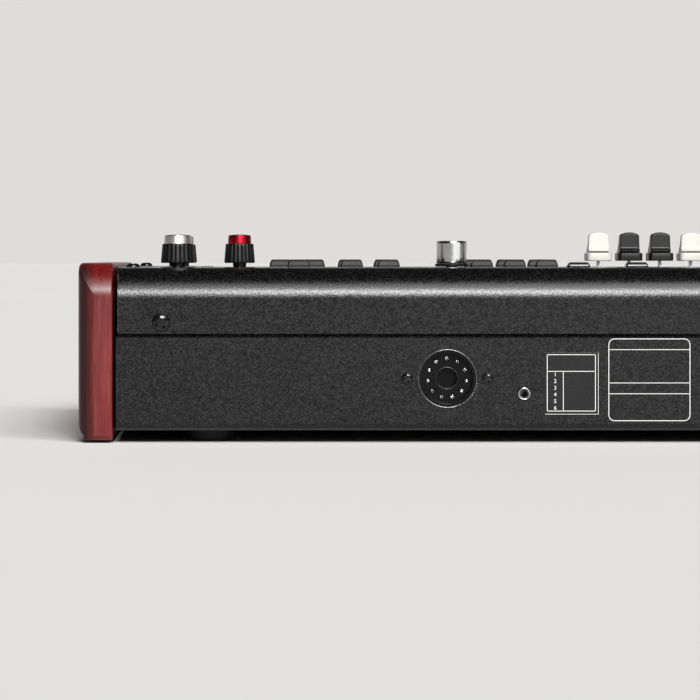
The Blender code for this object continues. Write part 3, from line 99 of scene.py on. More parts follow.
# Controls
BUTTON_LIP = 1.3 * MM
BUTTON_SIZE = (11.4 * MM, 8.4 * MM)
BUTTON_GAP = 0.3 * MM
BUTTON_CORNER = 0.9 * MM
BUTTON_CROWN = 0.9 * MM
LOW_BUTTON_CROWN = 0.5 * MM
BUTTON_NODES = [f"button_{index}" for index in range(1, 7)] + ["low_button_1", "low_button_2"]
STRIP_CAPS = {
    "effect_button_strip": 2,
    "engine_button_strip": 2,
    "preset_button_strip": 3,
    "percussion_button_strip": 4,
    "vibrato_button_strip": 3,
}
KNOB_HOLE = 7.4 * MM
WINDOW_LIP = 3 * MM
SLOT_WIDTH = 2.4 * MM
SLOT_SPARE = 3.1 * MM
SLIDE_TRAVEL = 60 * MM
DRAWBAR_PITCH = 15.9 * MM
STEM_WIDTH = 1.2 * MM
STEM_DEPTH = 5 * MM
FLUTES = 18
KNOBS = {
    "reverb_knob": "silver",
    "tone_knob": "silver",
    "overdrive_knob": "red",
    "volume_knob": "silver",
    "vibrato_knob": "silver",
}
DRAWBARS = {
    "drawbar_1": "white",
    "drawbar_1_13": "black",
    "drawbar_1_35": "black",
    "drawbar_2": "white",
    "drawbar_2_23": "black",
    "drawbar_4": "white",
    "drawbar_8": "white",
    "drawbar_5_13": "brown",
    "drawbar_16": "brown",
}


def tone(red, green, blue):
    """A colour given as it looks on a screen, from 0 to 255."""

    def level(value):
        share = value / 255
        return share / 12.92 if share <= 0.04045 else ((share + 0.055) / 1.055) ** 2.4

    return (level(red), level(green), level(blue), 1)


class Wire:
    """One output of a tree of nodes, which can be used in sums."""

    def __init__(self, tree, socket):
        self.tree = tree
        self.socket = socket

    def sum(self, operation, first, second):
        return self.tree.node("ShaderNodeMath", {"operation": operation}, {0: first, 1: second})

    def __add__(self, other):
        return self.sum("ADD", self, other)

    def __mul__(self, other):
        return self.sum("MULTIPLY", self, other)

    def __pow__(self, other):
        return self.sum("POWER", self, other)

    def magnitude(self):
        return self.sum("ABSOLUTE", self, 0)

    def cosine(self):
        return self.sum("COSINE", self, 0)

    def sine(self):
        return self.sum("SINE", self, 0)


class Tree:
    """A tree of nodes: a node's settings are put on it first, then the values or wires of its sockets."""

    def __init__(self, tree):
        self.tree = tree

    def node(self, kind, settings, sockets, output=0):
        made = self.tree.nodes.new(kind)
        for name, value in settings.items():
            if name == "stops":
                self.set_stops(made.color_ramp, value)
            else:
                setattr(made, name, value)
        for name, value in sockets.items():
            if isinstance(value, Wire):
                self.tree.links.new(value.socket, made.inputs[name])
            else:
                made.inputs[name].default_value = value
        return Wire(self, made.outputs[output])

    def set_stops(self, ramp, stops):
        for element, (place, colour) in zip(ramp.elements, stops):
            element.position = place
            element.color = colour
        for place, colour in stops[2:]:
            ramp.elements.new(place).color = colour

    def spread(self, value, low, high, to_low, to_high):
        sockets = {"Value": value, "From Min": low, "From Max": high, "To Min": to_low, "To Max": to_high}
        return self.node("ShaderNodeMapRange", {}, sockets)

    def colour(self, share, first, second):
        return self.node("ShaderNodeMix", {"data_type": "RGBA"}, {0: share, 6: first, 7: second}, 2)

    def parts(self, vector):
        """The x, y and z of a place."""
        split = self.tree.nodes.new("ShaderNodeSeparateXYZ")
        self.tree.links.new(vector.socket, split.inputs[0])
        return [Wire(self, output) for output in split.outputs]


class Finish(Tree):
    """A surface finish. What is the same all over sits on the shader's own sockets."""

    def __init__(self, name, constants):
        self.material = bpy.data.materials.new(name)
        self.material.use_nodes = True
        super().__init__(self.material.node_tree)
        self.shader = self.tree.nodes["Principled BSDF"]
        for socket, value in constants.items():
            self.shader.inputs[socket].default_value = value

    def feed(self, socket, wire):
        self.tree.links.new(wire.socket, self.shader.inputs[socket])

    def place(self, stretch=(1, 1, 1), turn=(0, 0, 0)):
        """The place on the object, which can be stretched and turned."""
        object_place = self.node("ShaderNodeTexCoord", {}, {}, "Object")
        sockets = {"Vector": object_place, "Scale": stretch, "Rotation": turn}
        return self.node("ShaderNodeMapping", {}, sockets)

    def noise(self, place, per_metre, detail=3, roughness=0.5):
        sockets = {"Vector": place, "Scale": per_metre, "Detail": detail, "Roughness": roughness}
        return self.node("ShaderNodeTexNoise", {}, sockets)

    def cells(self, place, per_metre):
        return self.node("ShaderNodeTexVoronoi", {}, {"Vector": place, "Scale": per_metre}, "Color")

    def relief(self, height, depth, strength=1.0):
        sockets = {"Height": height, "Distance": depth, "Strength": strength}
        self.feed("Normal", self.node("ShaderNodeBump", {}, sockets))

    def two_tone(self, wire, start, end, low, high):
        """A colour that goes from one to the other while a value goes from start to end."""
        self.feed("Base Color", self.colour(self.spread(wire, start, end, 0.0, 1.0), low, high))

    def sheen(self, wire, low, high):
        """A roughness that follows a noise."""
        self.feed("Roughness", self.spread(wire, 0.3, 0.7, low, high))


# Finishes


def powder_coat():
    """Black powder coat: fine grains with a few specks painted brighter as glints, a little worn along the
    sheet's ends.
    """
    finish = Finish("black_powder_coat", {"Specular IOR Level": 0.36})
    place = finish.place()
    grain = finish.noise(place, 1100, 2, 0.6)
    # Painted glints: a few Voronoi specks are lightened in the base colour and stand in for glints of light
    # on the grain
    painted_glints = finish.spread(finish.parts(finish.cells(place, 2100))[0], 0.90, 1.0, 0.0, 0.4)
    dark = finish.colour(finish.spread(grain, 0.44, 0.58, 0.0, 1.0), tone(1, 1, 1), tone(18, 18, 19))
    base = finish.colour(painted_glints, dark, tone(66, 66, 67))
    x, _, z = finish.parts(place)
    end = finish.spread(x.magnitude(), COVER_HIGH.x - 1.0 * MM, COVER_HIGH.x - 0.65 * MM, 0.0, 1.0)
    ragged = finish.spread(finish.noise(place, 420, 3), 0.45, 0.62, 0.0, 0.8)
    above_seam = finish.spread(z, SEAM + 0.2 * MM, SEAM + 1.7 * MM, 0.0, 1.0)
    worn = finish.colour(end * ragged * above_seam, base, tone(120, 117, 112))
    finish.feed("Base Color", worn)
    finish.feed("Roughness", finish.spread(grain, 0.35, 0.65, 0.20, 0.32))
    finish.relief(grain, 0.07 * MM)
    return finish.material


def lacquered_wood():
    """Red stained wood under satin lacquer: its grain runs up the board, and painted shade darkens its
    rounded ends.
    """
    constants = {"Coat Roughness": 0.22, "Coat Weight": 0.1, "Specular IOR Level": 0.35}
    finish = Finish("red_lacquered_wood", constants)
    sway = finish.place((1, 1, 0.12), (0.05, 0.03, 0))
    broad = finish.noise(sway, 90, 3, 0.55)
    streaks = finish.noise(finish.place((1, 1, 0.045), (0.04, 0.05, 0)), 900, 4, 0.65)
    pores = finish.noise(finish.place((1, 1, 0.06), (-0.05, 0.06, 0)), 2300, 2)
    stained = finish.colour(finish.spread(broad, 0.3, 0.7, 0.0, 1.0), tone(76, 5, 6), tone(104, 18, 18))
    streaked = finish.colour(finish.spread(streaks, 0.45, 0.72, 0.0, 0.55), stained, tone(130, 42, 38))
    pored = finish.colour(finish.spread(pores, 0.62, 0.74, 0.0, 0.5), streaked, tone(52, 8, 10))
    x, y, _ = finish.parts(finish.place())
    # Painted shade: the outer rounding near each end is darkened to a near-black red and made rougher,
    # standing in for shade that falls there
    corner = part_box("cheek_right")[1]
    out = x.magnitude()
    rounding = finish.spread(out, corner.x - 8.5 * MM, corner.x - 3.5 * MM, 0.0, 1.0)
    rounding = rounding * finish.spread(out, corner.x - 0.2 * MM, corner.x - 1.5 * MM, 0.0, 1.0)
    painted_end_shade = rounding * finish.spread(y.magnitude(), corner.y - 15 * MM, corner.y - 8 * MM, 0.0, 0.9)
    finish.feed("Base Color", finish.colour(painted_end_shade, pored, tone(22, 0, 1)))
    finish.feed("Roughness", finish.spread(streaks, 0.3, 0.7, 0.30, 0.44) + painted_end_shade * 0.25)
    finish.relief(streaks * 0.6 + pores * 0.5, 0.05 * MM, 0.55)
    return finish.material


def moulded(name, low, high, rough, skin=1500, depth=0.02, shine=0.5):
    """Moulded plastic or rubber: a slightly clouded colour and a fine skin."""
    finish = Finish(name, {"Specular IOR Level": shine})
    place = finish.place()
    grain = finish.noise(place, skin, 2)
    finish.two_tone(finish.noise(place, 60, 4, 0.6), 0.35, 0.65, low, high)
    finish.sheen(grain, rough - 0.05, rough + 0.06)
    finish.relief(grain, depth * MM, 0.6)
    return finish.material


def turned_metal(name, low, high, rough):
    """Metal turned on a lathe: fine rings round the piece's own axis, kept in its own_place attribute."""
    finish = Finish(name, {"Metallic": 1.0})
    own = finish.node("ShaderNodeAttribute", {"attribute_name": "own_place"}, {}, "Vector")
    x, y, z = finish.parts(own)
    reach = (x * x + y * y) ** 0.5
    ring = finish.node("ShaderNodeCombineXYZ", {}, {"X": reach, "Y": z, "Z": 0.0})
    rings = finish.noise(ring, 5200, 2, 0.6)
    smudge = finish.noise(own, 240, 3)
    finish.two_tone(rings, 0.3, 0.7, low, high)
    finish.sheen(smudge, rough - 0.05, rough + 0.07)
    finish.relief(rings, 0.002 * MM, 0.3)
    return finish.material


def plated(name, low, high, rough):
    """Plated or bare sheet metal with a light cloudy tarnish."""
    finish = Finish(name, {"Metallic": 1.0})
    place = finish.place()
    tarnish = finish.noise(place, 320, 4, 0.6)
    finish.two_tone(tarnish, 0.3, 0.7, low, high)
    finish.sheen(tarnish, rough, rough + 0.12)
    finish.relief(finish.noise(place, 1800, 2), 0.01 * MM, 0.4)
    return finish.material


def circuit_board():
    """Green solder resist over copper tracks that show as paler lines."""
    finish = Finish("green_circuit_board", {"Specular IOR Level": 0.5})
    place = finish.place()
    blocks = finish.parts(finish.cells(finish.place((1, 1, 0)), 260))[0]
    tracks = finish.spread(blocks, 0.55, 0.6, 0.0, 1.0)
    finish.feed("Base Color", finish.colour(tracks, tone(4, 22, 14), tone(8, 34, 22)))
    finish.sheen(finish.noise(place, 700), 0.36, 0.5)
    finish.relief(tracks, 0.03 * MM, 0.5)
    return finish.material


def smoked_window():
    """The display's dark cover, with faint haze."""
    finish = Finish("smoked_window", {"Specular IOR Level": 0.1})
    haze = finish.noise(finish.place(), 30, 2)
    finish.feed("Base Color", finish.colour(haze, tone(12, 14, 18), tone(22, 26, 32)))
    finish.sheen(haze, 0.26, 0.30)
    return finish.material


def printed(name, low, high):
    """Printing ink laid on the coat, slightly broken by the grain beneath."""
    finish = Finish(name, {"Specular IOR Level": 0.4})
    place = finish.place()
    patchy = finish.noise(place, 1500, 3, 0.6)
    finish.two_tone(patchy, 0.35, 0.6, low, high)
    finish.sheen(patchy, 0.42, 0.6)
    finish.relief(patchy, 0.03 * MM, 0.5)
    return finish.material


COAT = powder_coat()
WOOD = lacquered_wood()
BLACK_PLASTIC = moulded("black_moulding", tone(20, 20, 21), tone(28, 28, 29), 0.38)
BLOCK_PLASTIC = moulded("satin_black_block", tone(17, 17, 18), tone(24, 24, 25), 0.46, skin=1100, depth=0.05)
BUTTON_PLASTIC = moulded("grey_black_button", tone(22, 22, 23), tone(31, 31, 32), 0.45, shine=0.22)
GLOSS_BUTTON = moulded("gloss_black_button", tone(10, 10, 11), tone(14, 14, 15), 0.12, depth=0.004)
SKIRT_PLASTIC = moulded("knob_skirt", tone(8, 8, 9), tone(13, 13, 14), 0.34, shine=0.3)
WHITE_KEY = moulded("white_key", tone(232, 229, 218), tone(240, 237, 228), 0.18, depth=0.005)
BLACK_KEY = moulded("black_key", tone(15, 15, 16), tone(22, 22, 23), 0.30, depth=0.01)
TAB_FINISHES = {
    "white": moulded("white_tab", tone(192, 191, 182), tone(199, 198, 190), 0.34, depth=0.008),
    "black": moulded("black_tab", tone(11, 11, 10), tone(17, 17, 16), 0.36, depth=0.012, shine=0.3),
    "brown": moulded("brown_tab", tone(84, 46, 28), tone(98, 56, 36), 0.30, depth=0.012),
}
RUBBER = moulded("rubber_foot", tone(16, 16, 16), tone(26, 26, 26), 0.72, skin=900, depth=0.08)
SOCKET_PLASTIC = moulded("socket_moulding", tone(4, 4, 5), tone(8, 8, 9), 0.20, depth=0.01, shine=0.2)
CAP_FINISHES = {
    "silver": turned_metal("turned_silver_cap", tone(216, 216, 213), tone(238, 238, 235), 0.36),
    "red": turned_metal("red_anodised_cap", tone(150, 22, 36), tone(184, 34, 50), 0.32),
}
STEEL = turned_metal("polished_steel", tone(226, 226, 224), tone(246, 246, 244), 0.13)
BRIGHT = plated("bright_plating", tone(200, 200, 198), tone(226, 226, 224), 0.14)
ZINC = plated("zinc_plate", tone(140, 144, 150), tone(172, 175, 180), 0.34)
DARK_NICKEL = plated("dark_nickel", tone(70, 70, 72), tone(98, 98, 100), 0.22)
WORN_STEEL = plated("worn_steel", tone(122, 122, 121), tone(152, 152, 151), 0.2)
SCREW_BLACK = moulded("black_screw", tone(8, 8, 9), tone(14, 14, 15), 0.22, depth=0.01)
BOARD = circuit_board()
WINDOW = smoked_window()
INK_WHITE = printed("white_ink", tone(212, 212, 209), tone(224, 224, 221))
PLATE = moulded("label_plate", tone(4, 4, 5), tone(7, 7, 8), 0.24, depth=0.004)


# Mesh helpers


def rounded(corners, steps=ARC_STEPS):
    """Points of a closed outline whose corners (u, v, radius) are rounded by arcs of that many steps."""
    points = []
    for index, (u, v, radius) in enumerate(corners):
        corner = Vector((u, v))
        if radius == 0:
            points.append(corner)
            continue
        before = (Vector(corners[index - 1][:2]) - corner).normalized()
        after = (Vector(corners[(index + 1) % len(corners)][:2]) - corner).normalized()
        half_angle = before.angle(after) / 2
        centre = corner + (before + after).normalized() * radius / math.sin(half_angle)
        reach = radius / math.tan(half_angle)
        first = corner + before * reach - centre
        turn = first.angle_signed(corner + after * reach - centre)
        for step in range(steps + 1):
            points.append(centre + Matrix.Rotation(-turn * step / steps, 2) @ first)
    return points


def rectangle(half_u, half_v, radius, centre=(0, 0)):
    u, v = centre
    return [
        (u - half_u, v - half_v, radius),
        (u + half_u, v - half_v, radius),
        (u + half_u, v + half_v, radius),
        (u - half_u, v + half_v, radius),
    ]


def bridge(bm, low, high):
    """Quads between two closed loops of equally many corners."""
    for index, corner in enumerate(low):
        following = (index + 1) % len(low)
        bm.faces.new((corner, low[following], high[following], high[index]))


def join_rings(bm, rings):
    """A body from rings of equally many points, its first and last ring filled."""
    loops = [[bm.verts.new(point) for point in ring] for ring in rings]
    for low, high in zip(loops, loops[1:]):
        bridge(bm, low, high)
    bm.faces.new(loops[0])
    bm.faces.new(loops[-1])


def join_round(bm, rings):
    """A body from rings of equally many points, its last ring joined to its first."""
    loops = [[bm.verts.new(point) for point in ring] for ring in rings]
    for low, high in zip(loops, loops[1:] + loops[:1]):
        bridge(bm, low, high)


PLACERS = {
    "X": lambda u, v, along: (along, u, v),
    "Y": lambda u, v, along: (u, along, v),
    "Z": lambda u, v, along: (u, v, along),
}


def prism(bm, corners, low, high, axis="X", steps=ARC_STEPS):
    """A rounded outline run along an axis: in Y and Z for X, in X and Z for Y, in X and Y for Z."""
    outline = rounded(corners, steps)
    place = PLACERS[axis]
    join_rings(bm, [[place(point.x, point.y, along) for point in outline] for along in (low, high)])


def box(bm, low, high):
    low = Vector(low)
    size = Vector(high) - low
    bmesh.ops.create_cube(bm, size=1, matrix=Matrix.Translation(low + size / 2) @ Matrix.Diagonal((*size, 1)))


def centred_box(bm, centre, size):
    half = Vector(size) / 2
    box(bm, Vector(centre) - half, Vector(centre) + half)


def rod(bm, start, end, diameter, sides=32):
    """A cylinder from one point to another."""
    start, end = Vector(start), Vector(end)
    run = end - start
    turn = run.to_track_quat("Z", "Y").to_matrix().to_4x4()
    place = Matrix.Translation((start + end) / 2) @ turn
    half = diameter / 2
    bmesh.ops.create_cone(
        bm, cap_ends=True, segments=sides, radius1=half, radius2=half, depth=run.length, matrix=place
    )


def turned(bm, profile, sides=64, reach=None):
    """A profile (radius, height) turned about Z; reach changes a radius by its angle."""
    rings = []
    for radius, height in profile:
        ring = []
        for index in range(sides):
            angle = math.tau * index / sides
            here = reach(radius, height, angle) if reach else radius
            ring.append((here * math.cos(angle), here * math.sin(angle), height))
        rings.append(ring)
    join_rings(bm, rings)


def tube(outer, inner, low, high, sides=40):
    """A plain ring about Z."""
    angles = [math.tau * index / sides for index in range(sides)]
    rings = []
    for radius, height in ((outer, low), (outer, high), (inner, high), (inner, low)):
        rings.append([(radius * math.cos(angle), radius * math.sin(angle), height) for angle in angles])
    return drawn(join_round, rings)


def plain_mesh(bm, name):
    """The mesh of what was drawn, its faces turned as they are."""
    mesh = bpy.data.meshes.new(name)
    bm.to_mesh(mesh)
    bm.free()
    return mesh


def mesh_of(bm, name):
    """The mesh of what was drawn, its faces turned outward."""
    bmesh.ops.recalc_face_normals(bm, faces=bm.faces)
    return plain_mesh(bm, name)


def drawn(shape, *sizes):
    """The mesh of one shape."""
    bm = bmesh.new()
    shape(bm, *sizes)
    return mesh_of(bm, "drawn")


def block(centre, size):
    """The mesh of one box, given by its middle and its size."""
    return drawn(centred_box, centre, size)


def turned_at(centre, profile, sides=64, reach=None):
    """The mesh of a turned profile whose axis runs through a middle."""
    bm = bmesh.new()
    turned(bm, profile, sides, reach)
    bmesh.ops.translate(bm, verts=bm.verts, vec=(centre.x, centre.y, 0))
    return mesh_of(bm, "turned")


def linked(name, data):
    """A new object in the scene."""
    obj = bpy.data.objects.new(name, data)
    bpy.context.scene.collection.objects.link(obj)
    return obj


def loose(mesh):
    """An object for work in hand, which is not a finished piece."""
    return linked("work_" + mesh.name, mesh)


def evaluated(obj):
    """The mesh of an object with its modifiers worked in."""
    graph = bpy.context.evaluated_depsgraph_get()
    return bpy.data.meshes.new_from_object(obj.evaluated_get(graph))


def applied(obj):
    """The evaluated mesh of an object, which is then removed."""
    mesh = evaluated(obj)
    bpy.data.objects.remove(obj)
    return mesh


def carved(mesh, tools):
    """A mesh with another one cut out of it."""
    body, tool = loose(mesh), loose(tools)
    modifier = body.modifiers.new("carve", "BOOLEAN")
    modifier.operation = "DIFFERENCE"
    modifier.solver = "EXACT"
    modifier.object = tool
    result = applied(body)
    bpy.data.objects.remove(tool)
    return result


def eased(mesh, width):
    """A mesh with its sharp edges rounded over."""
    body = loose(mesh)
    bevel = body.modifiers.new("ease", "BEVEL")
    bevel.width = width
    bevel.segments = 2
    bevel.limit_method = "ANGLE"
    bevel.angle_limit = math.radians(35)
    bevel.use_clamp_overlap = True
    return applied(body)


def solid_copy(node):
    """A node's own mesh, its loose triangles merged and its flat faces made whole."""
    bm = bmesh.new()
    bm.from_mesh(frame["nodes"][node].data)
    bmesh.ops.remove_doubles(bm, verts=bm.verts, dist=0.01 * MM)
    bmesh.ops.dissolve_limit(bm, angle_limit=math.radians(0.5), verts=bm.verts, edges=bm.edges)
    return plain_mesh(bm, node + "_copy")


def moved_metal(mesh, centre):
    """A turned piece moved to its middle, with each point's place from its axis kept for its finish."""
    kept = mesh.attributes.new("own_place", "FLOAT_VECTOR", "POINT")
    for index, vertex in enumerate(mesh.vertices):
        kept.data[index].vector = vertex.co
    mesh.transform(Matrix.Translation((centre.x, centre.y, 0)))
    return mesh


def in_finish(mesh, finish):
    mesh.materials.clear()
    mesh.materials.append(finish)
    return mesh


def add_piece(name, mesh, body, finish, replaces=(), angle=38):
    """A finished piece: smooth but for its real edges, with its finish, riding on its body."""
    mesh.shade_smooth()
    mesh.set_sharp_from_angle(angle=math.radians(angle))
    if not any(mesh.materials):
        in_finish(mesh, finish)
    obj = linked(name, mesh)
    weighted = obj.modifiers.new("even_shading", "WEIGHTED_NORMAL")
    weighted.keep_sharp = True
    finished = evaluated(obj)
    finished.name = obj.name
    obj.data = finished
    obj.modifiers.clear()
    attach(obj, body)
    if replaces:
        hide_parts(*replaces)


def dress(node, finish, ease):
    """A node carried over as its own shape, with softened edges."""
    add_piece(node + "_dressed", eased(solid_copy(node), ease), NODE_BODY[node], finish, (node,))


def middle(node):
    low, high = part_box(node)
    return (low + high) / 2


# Repeats, set out by geometry nodes


class Setting(Tree):
    """A tree that sets out copies of a part; its sizes are inputs that have names."""

    def __init__(self, name, inputs):
        group = bpy.data.node_groups.new(name, "GeometryNodeTree")
        super().__init__(group)
        self.group = group
        group.interface.new_socket("Geometry", in_out="INPUT", socket_type="NodeSocketGeometry")
        for title, kind in inputs:
            group.interface.new_socket(title, in_out="INPUT", socket_type=kind)
        group.interface.new_socket("Geometry", in_out="OUTPUT", socket_type="NodeSocketGeometry")
        self.start = group.nodes.new("NodeGroupInput")

    def given(self, title):
        return Wire(self, self.start.outputs[title])

    def close(self, geometry):
        """Makes the copies real, moves them to their place and gives them their finish."""
        real = self.node("GeometryNodeRealizeInstances", {}, {0: geometry})
        move = {"Geometry": real, "Translation": self.given("Place"), "Rotation": self.given("Tilt")}
        moved = self.node("GeometryNodeTransform", {}, move)
        done = self.node("GeometryNodeSetMaterial", {}, {"Geometry": moved, "Material": self.given("Finish")})
        end = self.tree.nodes.new("NodeGroupOutput")
        self.tree.links.new(done.socket, end.inputs[0])

    def part(self):
        return self.node("GeometryNodeObjectInfo", {}, {"Object": self.given("Part")}, "Geometry")


COMMON_INPUTS = (
    ("Part", "NodeSocketObject"),
    ("Count", "NodeSocketInt"),
    ("Place", "NodeSocketVector"),
    ("Tilt", "NodeSocketVector"),
    ("Finish", "NodeSocketMaterial"),
)


def ring_setting():
    """Copies on an arc, each turned with it."""
    extra = [(title, "NodeSocketFloat") for title in ("Radius", "First angle", "Step angle")]
    tree = Setting("parts_in_a_ring", [*COMMON_INPUTS, *extra])
    index = tree.node("GeometryNodeInputIndex", {}, {})
    angle = tree.given("First angle") + index * tree.given("Step angle")
    radius = tree.given("Radius")
    spot = tree.node("ShaderNodeCombineXYZ", {}, {"X": radius * angle.cosine(), "Y": radius * angle.sine()})
    points = tree.node("GeometryNodePoints", {}, {"Count": tree.given("Count"), "Position": spot})
    turn = tree.node("ShaderNodeCombineXYZ", {}, {"Z": angle})
    placed = {"Points": points, "Instance": tree.part(), "Rotation": turn}
    tree.close(tree.node("GeometryNodeInstanceOnPoints", {}, placed))
    return tree.group


def row_setting():
    """Copies in a straight row, a step apart."""
    tree = Setting("parts_in_a_row", [*COMMON_INPUTS, ("Step", "NodeSocketVector")])
    index = tree.node("GeometryNodeInputIndex", {}, {})
    step = tree.given("Step")
    spot = tree.node("ShaderNodeVectorMath", {"operation": "SCALE"}, {0: step, "Scale": index})
    points = tree.node("GeometryNodePoints", {}, {"Count": tree.given("Count"), "Position": spot})
    tree.close(tree.node("GeometryNodeInstanceOnPoints", {}, {"Points": points, "Instance": tree.part()}))
    return tree.group


RING = ring_setting()
ROW = row_setting()


def set_out(group, part_mesh, inputs):
    """The plain mesh that a setting makes from a part and its inputs, given by their names."""
    part = loose(part_mesh)
    carrier = loose(bpy.data.meshes.new("carrier"))
    modifier = carrier.modifiers.new("setting", "NODES")
    modifier.node_group = group
    given = {"Part": part, "Tilt": (0.0, 0.0, 0.0), **inputs}
    for item in group.interface.items_tree:
        if item.in_out == "INPUT" and item.name in given:
            modifier[item.identifier] = given[item.name]
    made = applied(carrier)
    bpy.data.objects.remove(part)
    return made


def in_row(part, count, place, step, finish):
    """A mesh repeated in a straight row, a step apart."""
    return set_out(ROW, part, {"Count": count, "Place": place, "Step": step, "Finish": finish})


def in_ring(part, count, place, radius, first, step, finish, tilt=0.0):
    """A mesh repeated on an arc, its angles in degrees; tilt turns the arc about X."""
    inputs = {
        "Count": count,
        "Place": place,
        "Tilt": (tilt, 0.0, 0.0),
        "Radius": radius,
        "First angle": math.radians(first),
        "Step angle": math.radians(step),
        "Finish": finish,
    }
    return set_out(RING, part, inputs)


def together(meshes):
    """One mesh of several, each keeping its own finish."""
    finishes = []
    bm = bmesh.new()
    for mesh in meshes:
        first = len(bm.faces)
        bm.from_mesh(mesh)
        bm.faces.ensure_lookup_table()
        for face in bm.faces[first:]:
            own = mesh.materials[face.material_index] if mesh.materials else None
            if own not in finishes:
                finishes.append(own)
            face.material_index = finishes.index(own)
    joined = plain_mesh(bm, "joined")
    for finish in finishes:
        joined.materials.append(finish)
    return joined


# Case


def strip_cap_places(node):
    """The middles of the caps of a moulded strip, spread evenly between its first and its last."""
    low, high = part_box(node)
    inset = BUTTON_LIP + BUTTON_SIZE[0] / 2
    first, last = low.x + inset, high.x - inset
    count = STRIP_CAPS[node]
    y = (low.y + high.y) / 2
    return [(first + (last - first) * index / (count - 1), y) for index in range(count)]


def button_outline(x, y, inset):
    """The corners of a button's cap, an inset smaller on every side."""
    return rectangle(BUTTON_SIZE[0] / 2 - inset, BUTTON_SIZE[1] / 2 - inset, BUTTON_CORNER, (x, y))


def level_ring(corners, z, steps):
    """The points of a rounded outline at one height."""
    return [(point.x, point.y, z) for point in rounded(corners, steps)]


def openings_in_panel():
    """Every slot, hole and window of the panel, as one solid that stands through the sheet."""
    bm = bmesh.new()
    z = PANEL - SHEET / 2
    tall = SHEET + 2 * OVERRUN
    below, above = z - tall / 2, z + tall / 2
    for node in DRAWBARS:
        centre = middle(node)
        front = centre.y - SLIDE_TRAVEL - SLOT_SPARE
        rear = centre.y + SLOT_SPARE
        half = SLOT_WIDTH / 2
        slot = rectangle(half, (rear - front) / 2, half * 0.98, (centre.x, (front + rear) / 2))
        prism(bm, slot, below, above, "Z", 6)
    for node in [*KNOBS, "menu_encoder"]:
        centre = middle(node)
        rod(bm, (centre.x, centre.y, below), (centre.x, centre.y, above), KNOB_HOLE)
    places = [middle(node).xy for node in BUTTON_NODES]
    for node in STRIP_CAPS:
        places += strip_cap_places(node)
    for x, y in places:
        prism(bm, button_outline(x, y, -BUTTON_GAP), below, above, "Z", 4)
    low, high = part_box("display_window")
    covered = 2 * (WINDOW_LIP - BUTTON_GAP)
    centre = middle("display_window")
    centred_box(bm, (centre.x, centre.y, z), (high.x - low.x - covered, high.y - low.y - covered, tall))
    return mesh_of(bm, "panel_openings")


def make_cover():
    """The bent top sheet, with its drawbar slots, knob holes and button windows."""
    inner = REAR - SHEET
    edge = SEAM + SEAM_SHADOW
    section = [
        (REAR, edge, 0),
        (REAR, PANEL, REAR_BEND),
        (PANEL_FRONT, PANEL, FRONT_BEND),
        (PANEL_FRONT, PANEL - FRONT_LIP, 0),
        (PANEL_FRONT + SHEET, PANEL - FRONT_LIP, 0),
        (PANEL_FRONT + SHEET, PANEL - SHEET, FRONT_BEND - SHEET),
        (inner, PANEL - SHEET, REAR_BEND - SHEET),
        (inner, edge, 0),
    ]
    bent = drawn(prism, section, COVER_LOW.x + END_TRIM, COVER_HIGH.x - END_TRIM)
    sheet = carved(bent, openings_in_panel())
    add_piece("cover_sheet", sheet, "root", COAT, ("top_cover",), 30)


def make_pan():
    """The bottom pan, with a dark seam under the cover's edge and ends that stand clear of the cheeks."""
    bm = bmesh.new()
    for side in (-1, 1):
        near, far = sorted((side * (COVER_HIGH.x - LAP_INSET), side * (COVER_HIGH.x + OVERRUN)))
        box(bm, (near, REAR - LAP, SEAM - HAIR), (far, REAR + OVERRUN, SEAM + LAP))
    pan = carved(solid_copy("bottom_pan"), mesh_of(bm, "lap_ends"))
    low = (PAN_LOW.x - OVERRUN, REAR - SEAM_DEPTH, SEAM - SEAM_HALF)
    high = (PAN_HIGH.x + OVERRUN, REAR + OVERRUN, SEAM + SEAM_HALF)
    pan = carved(pan, drawn(box, low, high))
    reach = PAN_HIGH.x - PAN_TRIM
    for vertex in pan.vertices:
        vertex.co.x = min(max(vertex.co.x, -reach), reach)
    add_piece("bottom_pan_sheet", pan, "root", COAT, ("bottom_pan",), 30)


def quarter(radius, depth):
    """How far a quarter round of that radius stands in, at a depth from the edge."""
    if depth >= radius:
        return 0.0
    return radius - math.sqrt(radius**2 - (radius - depth) ** 2)


def round_depths(radius, steps):
    return [radius * (1 - math.cos(math.pi / 2 * step / steps)) for step in range(steps + 1)]


def make_cheek(node, side):
    """An end board: its outer face rounds in to the rear and front ends, and less to its long edges."""
    low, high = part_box(node)
    inner, outer = (low.x, high.x) if side > 0 else (high.x, low.x)
    inner += side * END_TRIM
    depths = sorted(set(round_depths(CHEEK_END_ROUND, 12) + round_depths(CHEEK_LONG_ROUND, 8)))
    depths.append(CHEEK_FLAT_FROM_EDGE)

    def outline(depth):
        foot = max(CHEEK_FOOT_RADIUS - depth, HAIR)
        top = max(CHEEK_TOP_RADIUS - depth, HAIR)
        near, far, floor, roof = low.y + depth, high.y - depth, low.z + depth, high.z - depth
        return rounded([(near, floor, foot), (far, floor, foot), (far, roof, top), (near, roof, top)])

    rings = []
    for depth in reversed(round_depths(CHEEK_INNER_ROUND, 4)):
        x = inner + side * quarter(CHEEK_INNER_ROUND, depth)
        rings.append([(x, point.x, point.y) for point in outline(depth)])
    for depth in depths:
        ring = []
        for point in outline(depth):
            from_end = high.y - abs(point.x)
            share = min(from_end / CHEEK_END_ROUND, 1.0)
            share *= 0.35 + 0.65 * min((point.y - low.z) / CHEEK_FLAT_FROM_EDGE, 1.0)
            inset = quarter(CHEEK_END_ROUND, from_end) + share * quarter(CHEEK_LONG_ROUND, depth)
            ring.append((outer - side * inset, point.x, point.y))
        rings.append(ring)
    add_piece(node + "_board", drawn(join_rings, rings), "root", WOOD, (node,), 30)


